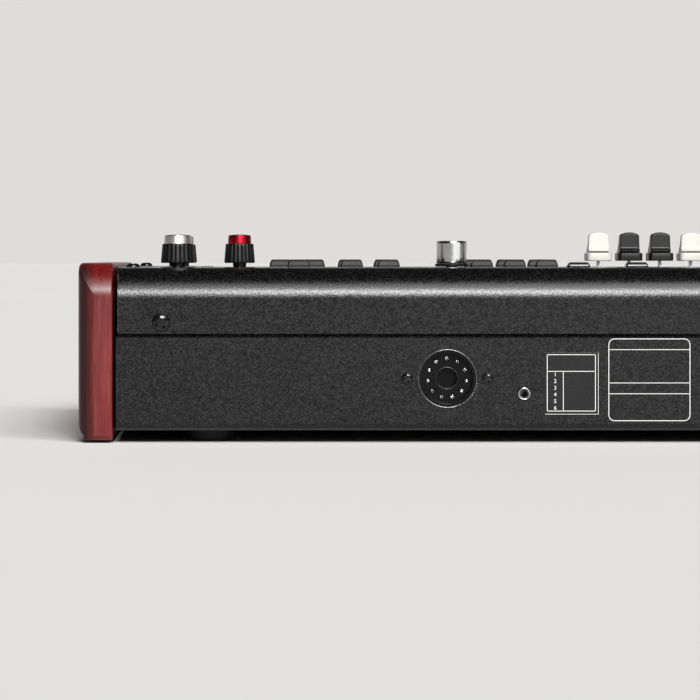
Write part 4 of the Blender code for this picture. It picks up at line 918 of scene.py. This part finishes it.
def make_case():
    make_cover()
    make_cheek("cheek_left", -1)
    make_cheek("cheek_right", 1)
    make_pan()
    dress("front_rail", BLOCK_PLASTIC, 0.5 * MM)
    for side in ("left", "right"):
        dress(f"key_block_{side}", BLOCK_PLASTIC, 0.6 * MM)
    inside = {"control_board": BOARD, "main_board": BOARD, "power_supply": ZINC, "key_frame": ZINC}
    for node, finish in inside.items():
        in_finish(frame["nodes"][node].data, finish)


def make_feet():
    """Round rubber feet, dished round a recessed screw."""
    for node in ("foot_front_left", "foot_front_right", "foot_rear_left", "foot_rear_right"):
        low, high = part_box(node)
        radius = (high.x - low.x) / 2
        profile = [
            (AXIS, high.z),
            (radius, high.z),
            (radius, 2.4 * MM),
            (radius - 0.3 * MM, 1.3 * MM),
            (radius - 1.0 * MM, 0.4 * MM),
            (radius - 2.0 * MM, 0.0),
            (FOOT_RECESS + 0.6 * MM, 0.0),
            (FOOT_RECESS, 0.5 * MM),
            (FOOT_RECESS, FOOT_RECESS_DEPTH),
            (AXIS, FOOT_RECESS_DEPTH),
        ]
        rubber = turned_at(middle(node), profile)
        add_piece(f"{node}_rubber", rubber, "root", RUBBER, (node,))


# Keys


def make_keys():
    for index in range(1, 6):
        dress(f"naturals_octave_{index}", WHITE_KEY, 0.45 * MM)
        dress(f"sharps_octave_{index}", BLACK_KEY, 0.5 * MM)
    dress("natural_top_c", WHITE_KEY, 0.45 * MM)


# Panel controls


def make_knob(node, cap_colour):
    """A fluted skirt that flares downwards, on a narrow neck, with a turned metal cap."""
    low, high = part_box(node)
    centre = middle(node)
    skirt = (high.x - low.x) / 2
    big = cap_colour == "silver"
    neck = (4.4 if big else 3.4) * MM
    cap = (7.0 if big else 5.95) * MM
    shaft = 3 * MM
    neck_low = PANEL + 0.3 * MM
    skirt_low = neck_low + 1.8 * MM
    skirt_top = skirt_low + 9.8 * MM
    top = high.z
    flute_depth = 0.36 * MM

    def fluted(radius, height, angle):
        if skirt_low < height < skirt_top - HAIR and radius > cap:
            wave = 0.5 + 0.5 * math.cos(FLUTES * angle)
            return radius - flute_depth * wave**5
        return radius

    body = [
        (AXIS, low.z),
        (shaft, low.z),
        (shaft, neck_low),
        (neck, neck_low),
        (neck, skirt_low),
        (skirt - 0.7 * MM, skirt_low),
        (skirt - 0.1 * MM, skirt_low + 0.25 * MM),
        (skirt, skirt_low + 0.8 * MM),
        (skirt * 0.965, skirt_low + 4 * MM),
        (skirt * 0.92, skirt_top - 1.2 * MM),
        (skirt * 0.91, skirt_top - 0.3 * MM),
        (skirt * 0.88, skirt_top),
        (cap - 0.6 * MM, skirt_top),
        (cap - 0.6 * MM, skirt_top + 0.4 * MM),
        (AXIS, skirt_top + 0.4 * MM),
    ]
    grip = turned_at(centre, body, FLUTES * 8, fluted)
    add_piece(f"{node}_skirt", grip, node, SKIRT_PLASTIC, (node,), 45)
    lid = [
        (AXIS, skirt_top + 0.45 * MM),
        (cap - 0.9 * MM, skirt_top + 0.45 * MM),
        (cap - 0.9 * MM, skirt_top + 0.1 * MM),
        (cap, skirt_top + 0.1 * MM),
        (cap, skirt_top + 0.5 * MM),
        (cap * 0.965, top - 1.1 * MM),
        (cap * 0.95, top - 0.7 * MM),
        (cap * 0.90, top - 0.45 * MM),
        (cap * 0.75, top - 0.25 * MM),
        (cap * 0.45, top - 0.08 * MM),
        (AXIS, top),
    ]
    groove = block((0, cap * 0.62, top), (0.7 * MM, cap * 0.9, 0.6 * MM))
    metal = moved_metal(carved(drawn(turned, lid, 96), groove), centre)
    add_piece(f"{node}_cap", metal, node, CAP_FINISHES[cap_colour])
    line_place = (centre.x, centre.y + cap * 0.60, top - 0.32 * MM)
    line = block(line_place, (0.55 * MM, cap * 0.78, 0.12 * MM))
    add_piece(f"{node}_line", line, node, INK_WHITE)


def make_encoder():
    """A polished knob with a fine straight knurl, over a dark collar."""
    low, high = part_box("menu_encoder")
    centre = middle("menu_encoder")
    flange = (high.x - low.x) / 2
    radius = 7.95 * MM
    flange_low = PANEL + 0.3 * MM
    flange_top = flange_low + 1.4 * MM
    collar = turned_at(centre, [
        (AXIS, low.z),
        (3 * MM, low.z),
        (3 * MM, flange_low),
        (flange - 0.3 * MM, flange_low),
        (flange, flange_low + 0.3 * MM),
        (flange, flange_top - 0.3 * MM),
        (flange - 0.3 * MM, flange_top),
        (AXIS, flange_top),
    ])
    add_piece("menu_encoder_collar", collar, "menu_encoder", SKIRT_PLASTIC)
    grooves = 44

    def knurled(reach, height, angle):
        if flange_top + 1.0 * MM < height < high.z - 1.0 * MM and reach > radius - 0.2 * MM:
            return reach - 0.03 * MM * (0.5 + 0.5 * math.cos(grooves * angle)) ** 4
        return reach

    profile = [
        (AXIS, flange_top + 0.05 * MM),
        (radius - 0.5 * MM, flange_top + 0.05 * MM),
        (radius - 0.1 * MM, flange_top + 0.4 * MM),
        (radius, flange_top + 0.9 * MM),
        (radius, flange_top + 1.3 * MM),
        (radius, high.z - 1.4 * MM),
        (radius, high.z - 0.7 * MM),
        (radius - 0.15 * MM, high.z - 0.25 * MM),
        (radius - 0.6 * MM, high.z),
        (radius - 1.2 * MM, high.z),
        (radius - 1.5 * MM, high.z - 0.3 * MM),
        (AXIS, high.z - 0.35 * MM),
    ]
    metal = moved_metal(drawn(turned, profile, grooves * 6, knurled), centre)
    add_piece("menu_encoder_knob", metal, "menu_encoder", STEEL, ("menu_encoder",))


def cap_rings(x, y, low, top):
    """Rings of a button's cap: sides that lean in above the panel, a soft edge and a slightly dished top."""
    rise = top - PANEL
    steps = (
        (low, 0.0),
        (PANEL + 0.25 * rise, 0.0),
        (PANEL + 0.45 * rise, 0.15),
        (PANEL + 0.75 * rise, 0.55),
        (PANEL + 0.92 * rise, 0.95),
        (top - 0.02 * MM, 1.35),
        (top, 1.8),
        (top - 0.1 * MM, 2.7),
    )
    return [level_ring(button_outline(x, y, inset * MM), z, 4) for z, inset in steps]


def make_buttons():
    """Buttons with a lip under the panel: single caps on a stem, and strips that carry several."""
    lip_top = PANEL - SHEET - BUTTON_GAP
    for node in BUTTON_NODES:
        low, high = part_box(node)
        centre = middle(node)
        finish, crown = BUTTON_PLASTIC, BUTTON_CROWN
        if node.startswith("low"):
            finish, crown = GLOSS_BUTTON, LOW_BUTTON_CROWN
        bm = bmesh.new()
        join_rings(bm, cap_rings(centre.x, centre.y, lip_top - HAIR, high.z + crown))
        box(bm, (low.x, low.y, lip_top - 1.5 * MM), (high.x, high.y, lip_top))
        centred_box(bm, (centre.x, centre.y, (low.z + lip_top) / 2), (4 * MM, 4 * MM, lip_top - low.z))
        add_piece(f"{node}_cap", mesh_of(bm, node), node, finish, (node,))
    for node in STRIP_CAPS:
        low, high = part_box(node)
        bm = bmesh.new()
        for x, y in strip_cap_places(node):
            join_rings(bm, cap_rings(x, y, lip_top - HAIR, high.z + BUTTON_CROWN))
        box(bm, (low.x, low.y, low.z), (high.x, high.y, lip_top))
        add_piece(f"{node}_caps", mesh_of(bm, node), node, BUTTON_PLASTIC, (node,))


def tab_mesh(centre, low, top):
    """A drawbar's tab: a lip over its base at the rear, a scooped finger face and an arched top."""
    half = 5.3 * MM
    slices = 16
    side = [
        (-8.8 * MM, low + 2 * MM, 0),
        (3.0 * MM, low + 2 * MM, 0),
        (3.0 * MM, low + 4.8 * MM, 0.2 * MM),
        (6.8 * MM, low + 5.2 * MM, 0.25 * MM),
        (3.4 * MM, low + 5.9 * MM, 1.6 * MM),
        (3.2 * MM, top, 1.0 * MM),
        (-1.2 * MM, top, 1.0 * MM),
        (-3.5 * MM, low + 8.4 * MM, 8 * MM),
        (-8.8 * MM, low + 5.2 * MM, 0.8 * MM),
    ]
    outline = rounded(side, 6)
    rings = []
    for index in range(slices + 1):
        share = -1 + 2 * index / slices
        edge = max(abs(share) - 0.88, 0) / 0.12
        ring = []
        for point in outline:
            rise = (point.y - low) / (top - low)
            x = share * half * (1 - 0.075 * rise)
            z = point.y - 1.3 * MM * share**2 * rise**4 - 0.35 * MM * edge**2 * rise**2
            y = point.x * (1 - 0.05 * edge**2)
            ring.append((centre.x + x, centre.y + y, z))
        rings.append(ring)
    return drawn(join_rings, rings)


def make_drawbars():
    """Each drawbar's base and tab over the panel, its flat stem and its carriage below."""
    for node, colour in DRAWBARS.items():
        low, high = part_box(node)
        centre = middle(node)
        base_low = PANEL + 3.2 * MM
        base_top = base_low + 4.1 * MM
        levels = ((base_low, 0.4), (base_low + 0.4 * MM, 0.0), (base_top - 0.4 * MM, 0.0), (base_top, 0.4))
        rings = []
        for z, inset in levels:
            half = (6.3 * MM - inset * MM, 9 * MM - inset * MM)
            rings.append(level_ring(rectangle(*half, 2 * MM, (centre.x, centre.y - 1 * MM)), z, 6))
        base = in_finish(drawn(join_rings, rings), TAB_FINISHES[colour])
        tab = in_finish(tab_mesh(centre, base_low, high.z - 0.8 * MM), TAB_FINISHES[colour])
        stem_low = low.z + 1.5 * MM
        stem_size = (STEM_WIDTH, STEM_DEPTH, base_low + HAIR - stem_low)
        stem = block((centre.x, centre.y, stem_low + stem_size[2] / 2), stem_size)
        carriage = eased(block((centre.x, centre.y, stem_low), (9 * MM, 14 * MM, 3 * MM)), 0.4 * MM)
        whole = together([base, tab, in_finish(stem, ZINC), in_finish(carriage, BLACK_PLASTIC)])
        add_piece(f"{node}_handle", whole, node, TAB_FINISHES[colour], (node,), 45)


# Rear connectors


def make_connectors():
    dress("rotary_socket", SOCKET_PLASTIC, 0.25 * MM)
    dress("line_in_jack", DARK_NICKEL, 0.15 * MM)
    for node, ease in (("rear_jack_board", 0.2), ("mains_inlet", 0.3), ("power_rocker", 0.3)):
        dress(node, BLACK_PLASTIC, ease * MM)


# Screws


def screw(diameter, rise, spin, tilt=0.0):
    """A pan head with a cross recess, standing on Z = 0, turned by spin and then tilted about X."""
    radius = diameter / 2
    profile = [(AXIS, -0.3 * MM), (radius * 0.96, -0.3 * MM), (radius, 0.0)]
    for step in range(1, 9):
        angle = math.pi / 2 * step / 8
        profile.append((radius * max(math.cos(angle), 0.012) ** SCREW_DOME, rise * math.sin(angle)))
    head = drawn(turned, profile, 40)
    for turn in (0, math.pi / 2):
        across = Matrix.Rotation(turn, 3, "Z")
        rings = []
        for z, length, width in ((rise * 1.3, 1.75, 0.46), (rise * 0.15, 1.0, 0.30)):
            u, v = length * radius / 2, width * radius / 2
            corners = ((-u, -v, z), (u, -v, z), (u, v, z), (-u, v, z))
            rings.append([across @ Vector(corner) for corner in corners])
        head = carved(head, drawn(join_rings, rings))
    head.transform(Matrix.Rotation(tilt, 4, "X") @ Matrix.Rotation(spin, 4, "Z"))
    return head


def make_screws():
    """Cross-head screws along the cover's rear, beside the round socket, on top and in the feet."""
    socket = middle("rotary_socket")
    left, reach = -448.35 * MM, 298.9 * MM
    side, span = -463.3 * MM, 926.6 * MM
    near, apart = socket.x - 19.9 * MM, 40.15 * MM
    rows = (
        ("cover_screws", screw(9.2 * MM, 2.0 * MM, 0.55, TO_REAR), 4, (left, REAR, 60.5 * MM), reach),
        ("socket_screws", screw(6.0 * MM, 1.3 * MM, 0.3, TO_REAR), 2, (near, REAR, socket.z), apart),
        ("panel_screws", screw(7.2 * MM, 2.0 * MM, 0.2), 2, (side, 130 * MM, PANEL), span),
        ("block_screws", screw(7.2 * MM, 2.0 * MM, 0.9), 2, (side, -128 * MM, PANEL), span),
    )
    for name, head, count, place, step in rows:
        heads = in_row(head, count, place, (step, 0.0, 0.0), SCREW_BLACK)
        add_piece(name, heads, "root", SCREW_BLACK)
    foot = middle("foot_front_left")
    head = screw(6.4 * MM, 1.6 * MM, 0.4, math.pi)
    pair = in_row(head, 2, (0.0, 0.0, 0.0), (-2 * foot.x, 0.0, 0.0), ZINC)
    place = (foot.x, foot.y, FOOT_RECESS_DEPTH)
    add_piece("foot_screws", in_row(pair, 2, place, (0.0, -2 * foot.y, 0.0), ZINC), "root", ZINC)


# Rear connectors in detail


def torus(radius, thickness, place, sides=72):
    """A round wire ring that faces the rear."""
    x, y, z = place
    turns = [math.tau * index / sides for index in range(sides)]
    rings = []
    for step in range(10):
        bend = math.tau * step / 10
        reach = radius + thickness * math.cos(bend)
        depth = y + thickness * math.sin(bend)
        rings.append([(x + reach * math.cos(turn), depth, z + reach * math.sin(turn)) for turn in turns])
    return drawn(join_round, rings)


def make_socket_details():
    """The round socket's leaf contacts, its bright edge and its clip's teeth, and the small jack's rim."""
    socket = middle("rotary_socket")
    face = PAN_HIGH.y
    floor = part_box("rotary_socket")[1].y - SOCKET_WELL
    bm = bmesh.new()
    for shift in (-0.45 * MM, 0.45 * MM):
        centred_box(bm, (0.1 * MM, shift, -0.5 * MM), (1.5 * MM, 0.3 * MM, 2.2 * MM))
    leaves = eased(mesh_of(bm, "leaves"), 0.08 * MM)
    leaves.transform(Matrix.Rotation(0.5, 4, "Z"))
    place = (socket.x, floor, socket.z)
    contacts = in_ring(leaves, 11, place, 9.7 * MM, 90 - 180 / 11, -360 / 11, BRIGHT, TO_REAR)
    add_piece("socket_contacts", contacts, "root", BRIGHT)
    edge = torus(14.44 * MM, 0.2 * MM, (socket.x, face - 0.1 * MM, socket.z))
    bore = torus(5.45 * MM, 0.15 * MM, (socket.x, floor, socket.z), 48)
    rims = together([in_finish(edge, WORN_STEEL), in_finish(bore, DARK_NICKEL)])
    add_piece("socket_rims", rims, "root", WORN_STEEL)
    tooth = eased(block((0, 0, 0), (1.0 * MM, 0.45 * MM, 0.3 * MM)), 0.1 * MM)
    clip = in_ring(tooth, 8, (socket.x, face, socket.z), 15.0 * MM, 128, 6, DARK_NICKEL, TO_REAR)
    add_piece("socket_clip", clip, "root", DARK_NICKEL)
    jack = middle("line_in_jack")
    rim = torus(2.8 * MM, 0.27 * MM, (jack.x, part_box("line_in_jack")[1].y, jack.z), 48)
    add_piece("line_in_rim", rim, "root", BRIGHT)


def make_jack_details():
    """Washers round the phone jacks, contacts in the round data sockets and blades in the mains inlet."""
    level = PAN_HIGH.y
    first_jack, jack_pitch = -160 * MM, 24 * MM
    first_data, data_pitch = -240 * MM, 26 * MM
    washer = tube(5.3 * MM, 3.45 * MM, -0.2 * MM, 0.5 * MM)
    washer.transform(Matrix.Rotation(TO_REAR, 4, "X"))
    washers = in_row(washer, 4, (first_jack, level, JACK_LEVEL), (jack_pitch, 0.0, 0.0), BRIGHT)
    add_piece("jack_washers", washers, "root", BRIGHT)
    contact = tube(0.9 * MM, 0.5 * MM, -0.5 * MM, 0.3 * MM, 20)
    place = (first_data, level - DATA_WELL, JACK_LEVEL)
    contacts = in_ring(contact, 5, place, 3.75 * MM, 180, 45, BRIGHT, TO_REAR)
    contacts = in_row(contacts, 2, (0.0, 0.0, 0.0), (data_pitch, 0.0, 0.0), BRIGHT)
    add_piece("data_contacts", contacts, "root", BRIGHT)
    inlet_x, inlet_z = -430 * MM, 31 * MM
    bm = bmesh.new()
    for across, lift in ((-7, -2), (0, 2), (7, -2)):
        centre = (inlet_x + across * MM, level - 10.5 * MM, inlet_z + lift * MM)
        centred_box(bm, centre, (2.1 * MM, 9.1 * MM, 4.1 * MM))
    add_piece("inlet_blades", mesh_of(bm, "blades"), "root", BRIGHT)


# Printing


def ink_bar(bm, low, high, level):
    """A ruled bar on the rear face, between two corners (X, Z) in millimetres."""
    box(bm, (low[0] * MM, level - INK / 2, low[1] * MM), (high[0] * MM, level + INK, high[1] * MM))


def ink_frame(bm, low, high, radius, width, level):
    """A ruled frame on the rear face, between two corners (X, Z) in millimetres."""
    half = ((high[0] - low[0]) / 2, (high[1] - low[1]) / 2)
    centre = ((low[0] + high[0]) / 2, (low[1] + high[1]) / 2)
    outer = rounded(rectangle(*half, radius, centre), 6)
    inner = rounded(rectangle(half[0] - width, half[1] - width, radius - width, centre), 6)
    rings = ((outer, level - INK / 2), (outer, level + INK), (inner, level + INK), (inner, level - INK / 2))
    join_round(bm, [[(point.x * MM, y, point.y * MM) for point in outline] for outline, y in rings])


def numeral(text, height, place):
    """A printed figure that faces the rear, its middle at a place."""
    curve = bpy.data.curves.new("figure", "FONT")
    curve.body = text
    curve.size = height / FIGURE_SHARE
    curve.extrude = INK / 2
    curve.align_x = "CENTER"
    curve.align_y = "CENTER"
    mesh = applied(loose(curve))
    bpy.data.curves.remove(curve)
    mesh.transform(Matrix.Translation(place) @ FACING_REAR)
    bm = bmesh.new()
    bm.from_mesh(mesh)
    bmesh.ops.remove_doubles(bm, verts=bm.verts, dist=INK / 50)
    return mesh_of(bm, "figure")


def make_rear_printing():
    """A plate ruled like a table with plain numerals, and a ruled frame without any words."""
    level = PAN_HIGH.y
    top = level + PLATE_RISE
    plate = drawn(box, (229.25 * MM, level - HAIR, 14.0 * MM), (256.75 * MM, top, 45.5 * MM))
    add_piece("ruled_plate", eased(plate, 0.06 * MM), "root", PLATE)
    bm = bmesh.new()
    ink_frame(bm, (231.05, 16.0), (255.45, 44.5), 0.6, 0.32, top)
    ink_bar(bm, (231.2, 35.85), (255.3, 36.15), top)
    ink_bar(bm, (247.1, 16.2), (247.4, 36.0), top)
    ink_bar(bm, (229.65, 14.5), (229.85, 45.1), top)
    ink_bar(bm, (229.75, 14.5), (256.3, 14.7), top)
    parts = [mesh_of(bm, "ruling")]
    rows = 6
    for index in range(rows):
        place = Vector((251.3 * MM, top, (36 - 20 / rows * (index + 0.5)) * MM))
        parts.append(numeral(str(index + 1), 1.9 * MM, place))
    add_piece("plate_ruling", together(parts), "root", INK_WHITE)
    bm = bmesh.new()
    ink_frame(bm, (183.75, 11.15), (224.65, 52.4), 3.0, 0.35, level)
    for z in (46.85, 30.2, 24.8):
        ink_bar(bm, (184.0, z - 0.15), (224.4, z + 0.15), level)
    add_piece("frame_ruling", mesh_of(bm, "ruling"), "root", INK_WHITE)


def make_panel_printing():
    """Dial ticks round the knobs and a ladder of ticks between the drawbars."""
    for node in KNOBS:
        low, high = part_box(node)
        centre = middle(node)
        tick = block((0, 0, 0), (1.7 * MM, 0.35 * MM, INK))
        place = (centre.x, centre.y, PANEL + INK / 4)
        dial = in_ring(tick, 11, place, (high.x - low.x) / 2 + 2.6 * MM, 90 - 140, 28, INK_WHITE)
        add_piece(f"{node}_dial", dial, "root", INK_WHITE)
    first = middle("drawbar_16")
    rung = block((0, 0, 0), (1.9 * MM, 0.35 * MM, INK))
    ladder = in_row(rung, 9, (0.0, 0.0, 0.0), (0.0, -SLIDE_TRAVEL / 8, 0.0), INK_WHITE)
    place = (first.x + DRAWBAR_PITCH / 2, first.y, PANEL + INK / 4)
    ladders = in_row(ladder, len(DRAWBARS) - 1, place, (DRAWBAR_PITCH, 0.0, 0.0), INK_WHITE)
    add_piece("drawbar_ladders", ladders, "root", INK_WHITE)


def landing(node, x, z):
    """Where a line run forward from the rear meets a node, and how its face is turned there."""
    bm = bmesh.new()
    bm.from_mesh(frame["nodes"][node].data)
    bmesh.ops.triangulate(bm, faces=bm.faces)
    point, normal, _, _ = BVHTree.FromBMesh(bm).ray_cast(Vector((x, 1, z)), Vector((0, -1, 0)))
    bm.free()
    return point, normal


def make_rocker_marks():
    """A bar and a ring on the two halves of the power rocker."""
    low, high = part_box("power_rocker")
    centre = middle("power_rocker")
    offset = 0.26 * (high.z - low.z)
    bar = block((0, 0, 0), (0.5 * MM, 2.8 * MM, INK))
    ring = tube(1.5 * MM, 1.05 * MM, -INK / 2, INK / 2)
    for mesh, away in ((bar, offset), (ring, -offset)):
        point, normal = landing("power_rocker", centre.x, centre.z + away)
        mesh.transform(Matrix.Translation(point) @ normal.to_track_quat("Z", "Y").to_matrix().to_4x4())
    add_piece("rocker_marks", together([bar, ring]), "power_rocker", INK_WHITE)


# Stage


def make_stage():
    """A wide pale floor."""
    finish = Finish("pale_paper", {"Roughness": 0.9, "Specular IOR Level": 0.0})
    cloud = finish.noise(finish.place(), 0.6, 2)
    finish.feed("Base Color", finish.colour(cloud, tone(232, 231, 229), tone(235, 234, 232)))
    half = 60
    bm = bmesh.new()
    corners = ((-half, -half, 0), (half, -half, 0), (half, half, 0), (-half, half, 0))
    bm.faces.new([bm.verts.new(corner) for corner in corners])
    floor = linked("paper_floor", in_finish(plain_mesh(bm, "paper_floor"), finish.material))


def make_lights():
    """Two soft lights from behind the camera, a pale far horizon, a pale card and a dark ceiling."""
    lights = (
        ("wide_light", (-0.287, 0.710, 0.643), 2.45, 40),
        ("strip_light", (-0.061, 0.905, 0.421), 2.8, 17),
    )
    for name, towards, strength, width in lights:
        lamp = bpy.data.lights.new(name, "SUN")
        lamp.energy = strength
        lamp.angle = math.radians(width)
        light = linked(name, lamp)
        light.rotation_euler = Vector(towards).to_track_quat("Z", "Y").to_euler()
    world = bpy.data.worlds.new("studio")
    world.use_nodes = True
    sky = Tree(world.node_tree)
    x, y, z = sky.parts(sky.node("ShaderNodeTexCoord", {}, {}, "Generated"))
    low = sky.spread(z, 0.10, 0.32, 1.0, 0.0)
    front = sky.spread(y, 0.0, -0.6, 0.0, 1.0)
    horizon = sky.spread(y, -0.75, -0.97, 0.0, 1.0)
    card = sky.spread(x, -0.05, -0.15, 0.0, 1.0) * sky.spread(x, -0.92, -0.84, 0.0, 1.0)
    card = card * sky.spread(y, 0.3, 0.5, 0.0, 1.0)
    shade = sky.colour(front * low, tone(42, 42, 43), tone(140, 140, 139))
    shade = sky.colour(horizon * sky.spread(z, 0.30, 0.55, 1.0, 0.0), shade, tone(223, 221, 219))
    shade = sky.colour(card * low, shade, (1.25, 1.25, 1.25, 1))
    sky.tree.links.new(shade.socket, sky.tree.nodes["Background"].inputs["Color"])
    bpy.context.scene.world = world


def make_camera():
    lens = bpy.data.cameras.new("rear_view")
    lens.sensor_width = 36
    lens.lens = 174.9
    lens.shift_x = 0.164
    lens.shift_y = -0.131
    lens.clip_end = 200
    camera = linked("rear_view", lens)
    camera.location = (0.41125, 1.865, 0.0925)
    camera.rotation_euler = (math.pi / 2, 0, math.pi)
    bpy.context.scene.camera = camera
    bpy.context.scene.view_settings.view_transform = "Standard"


make_camera()
make_stage()
make_lights()
make_case()
make_feet()
make_keys()
for knob, cap_colour in KNOBS.items():
    make_knob(knob, cap_colour)
make_encoder()
make_buttons()
make_drawbars()
dress("display_window", WINDOW, 0.25 * MM)
make_connectors()
make_screws()
make_socket_details()
make_jack_details()
make_rear_printing()
make_panel_printing()
make_rocker_marks()
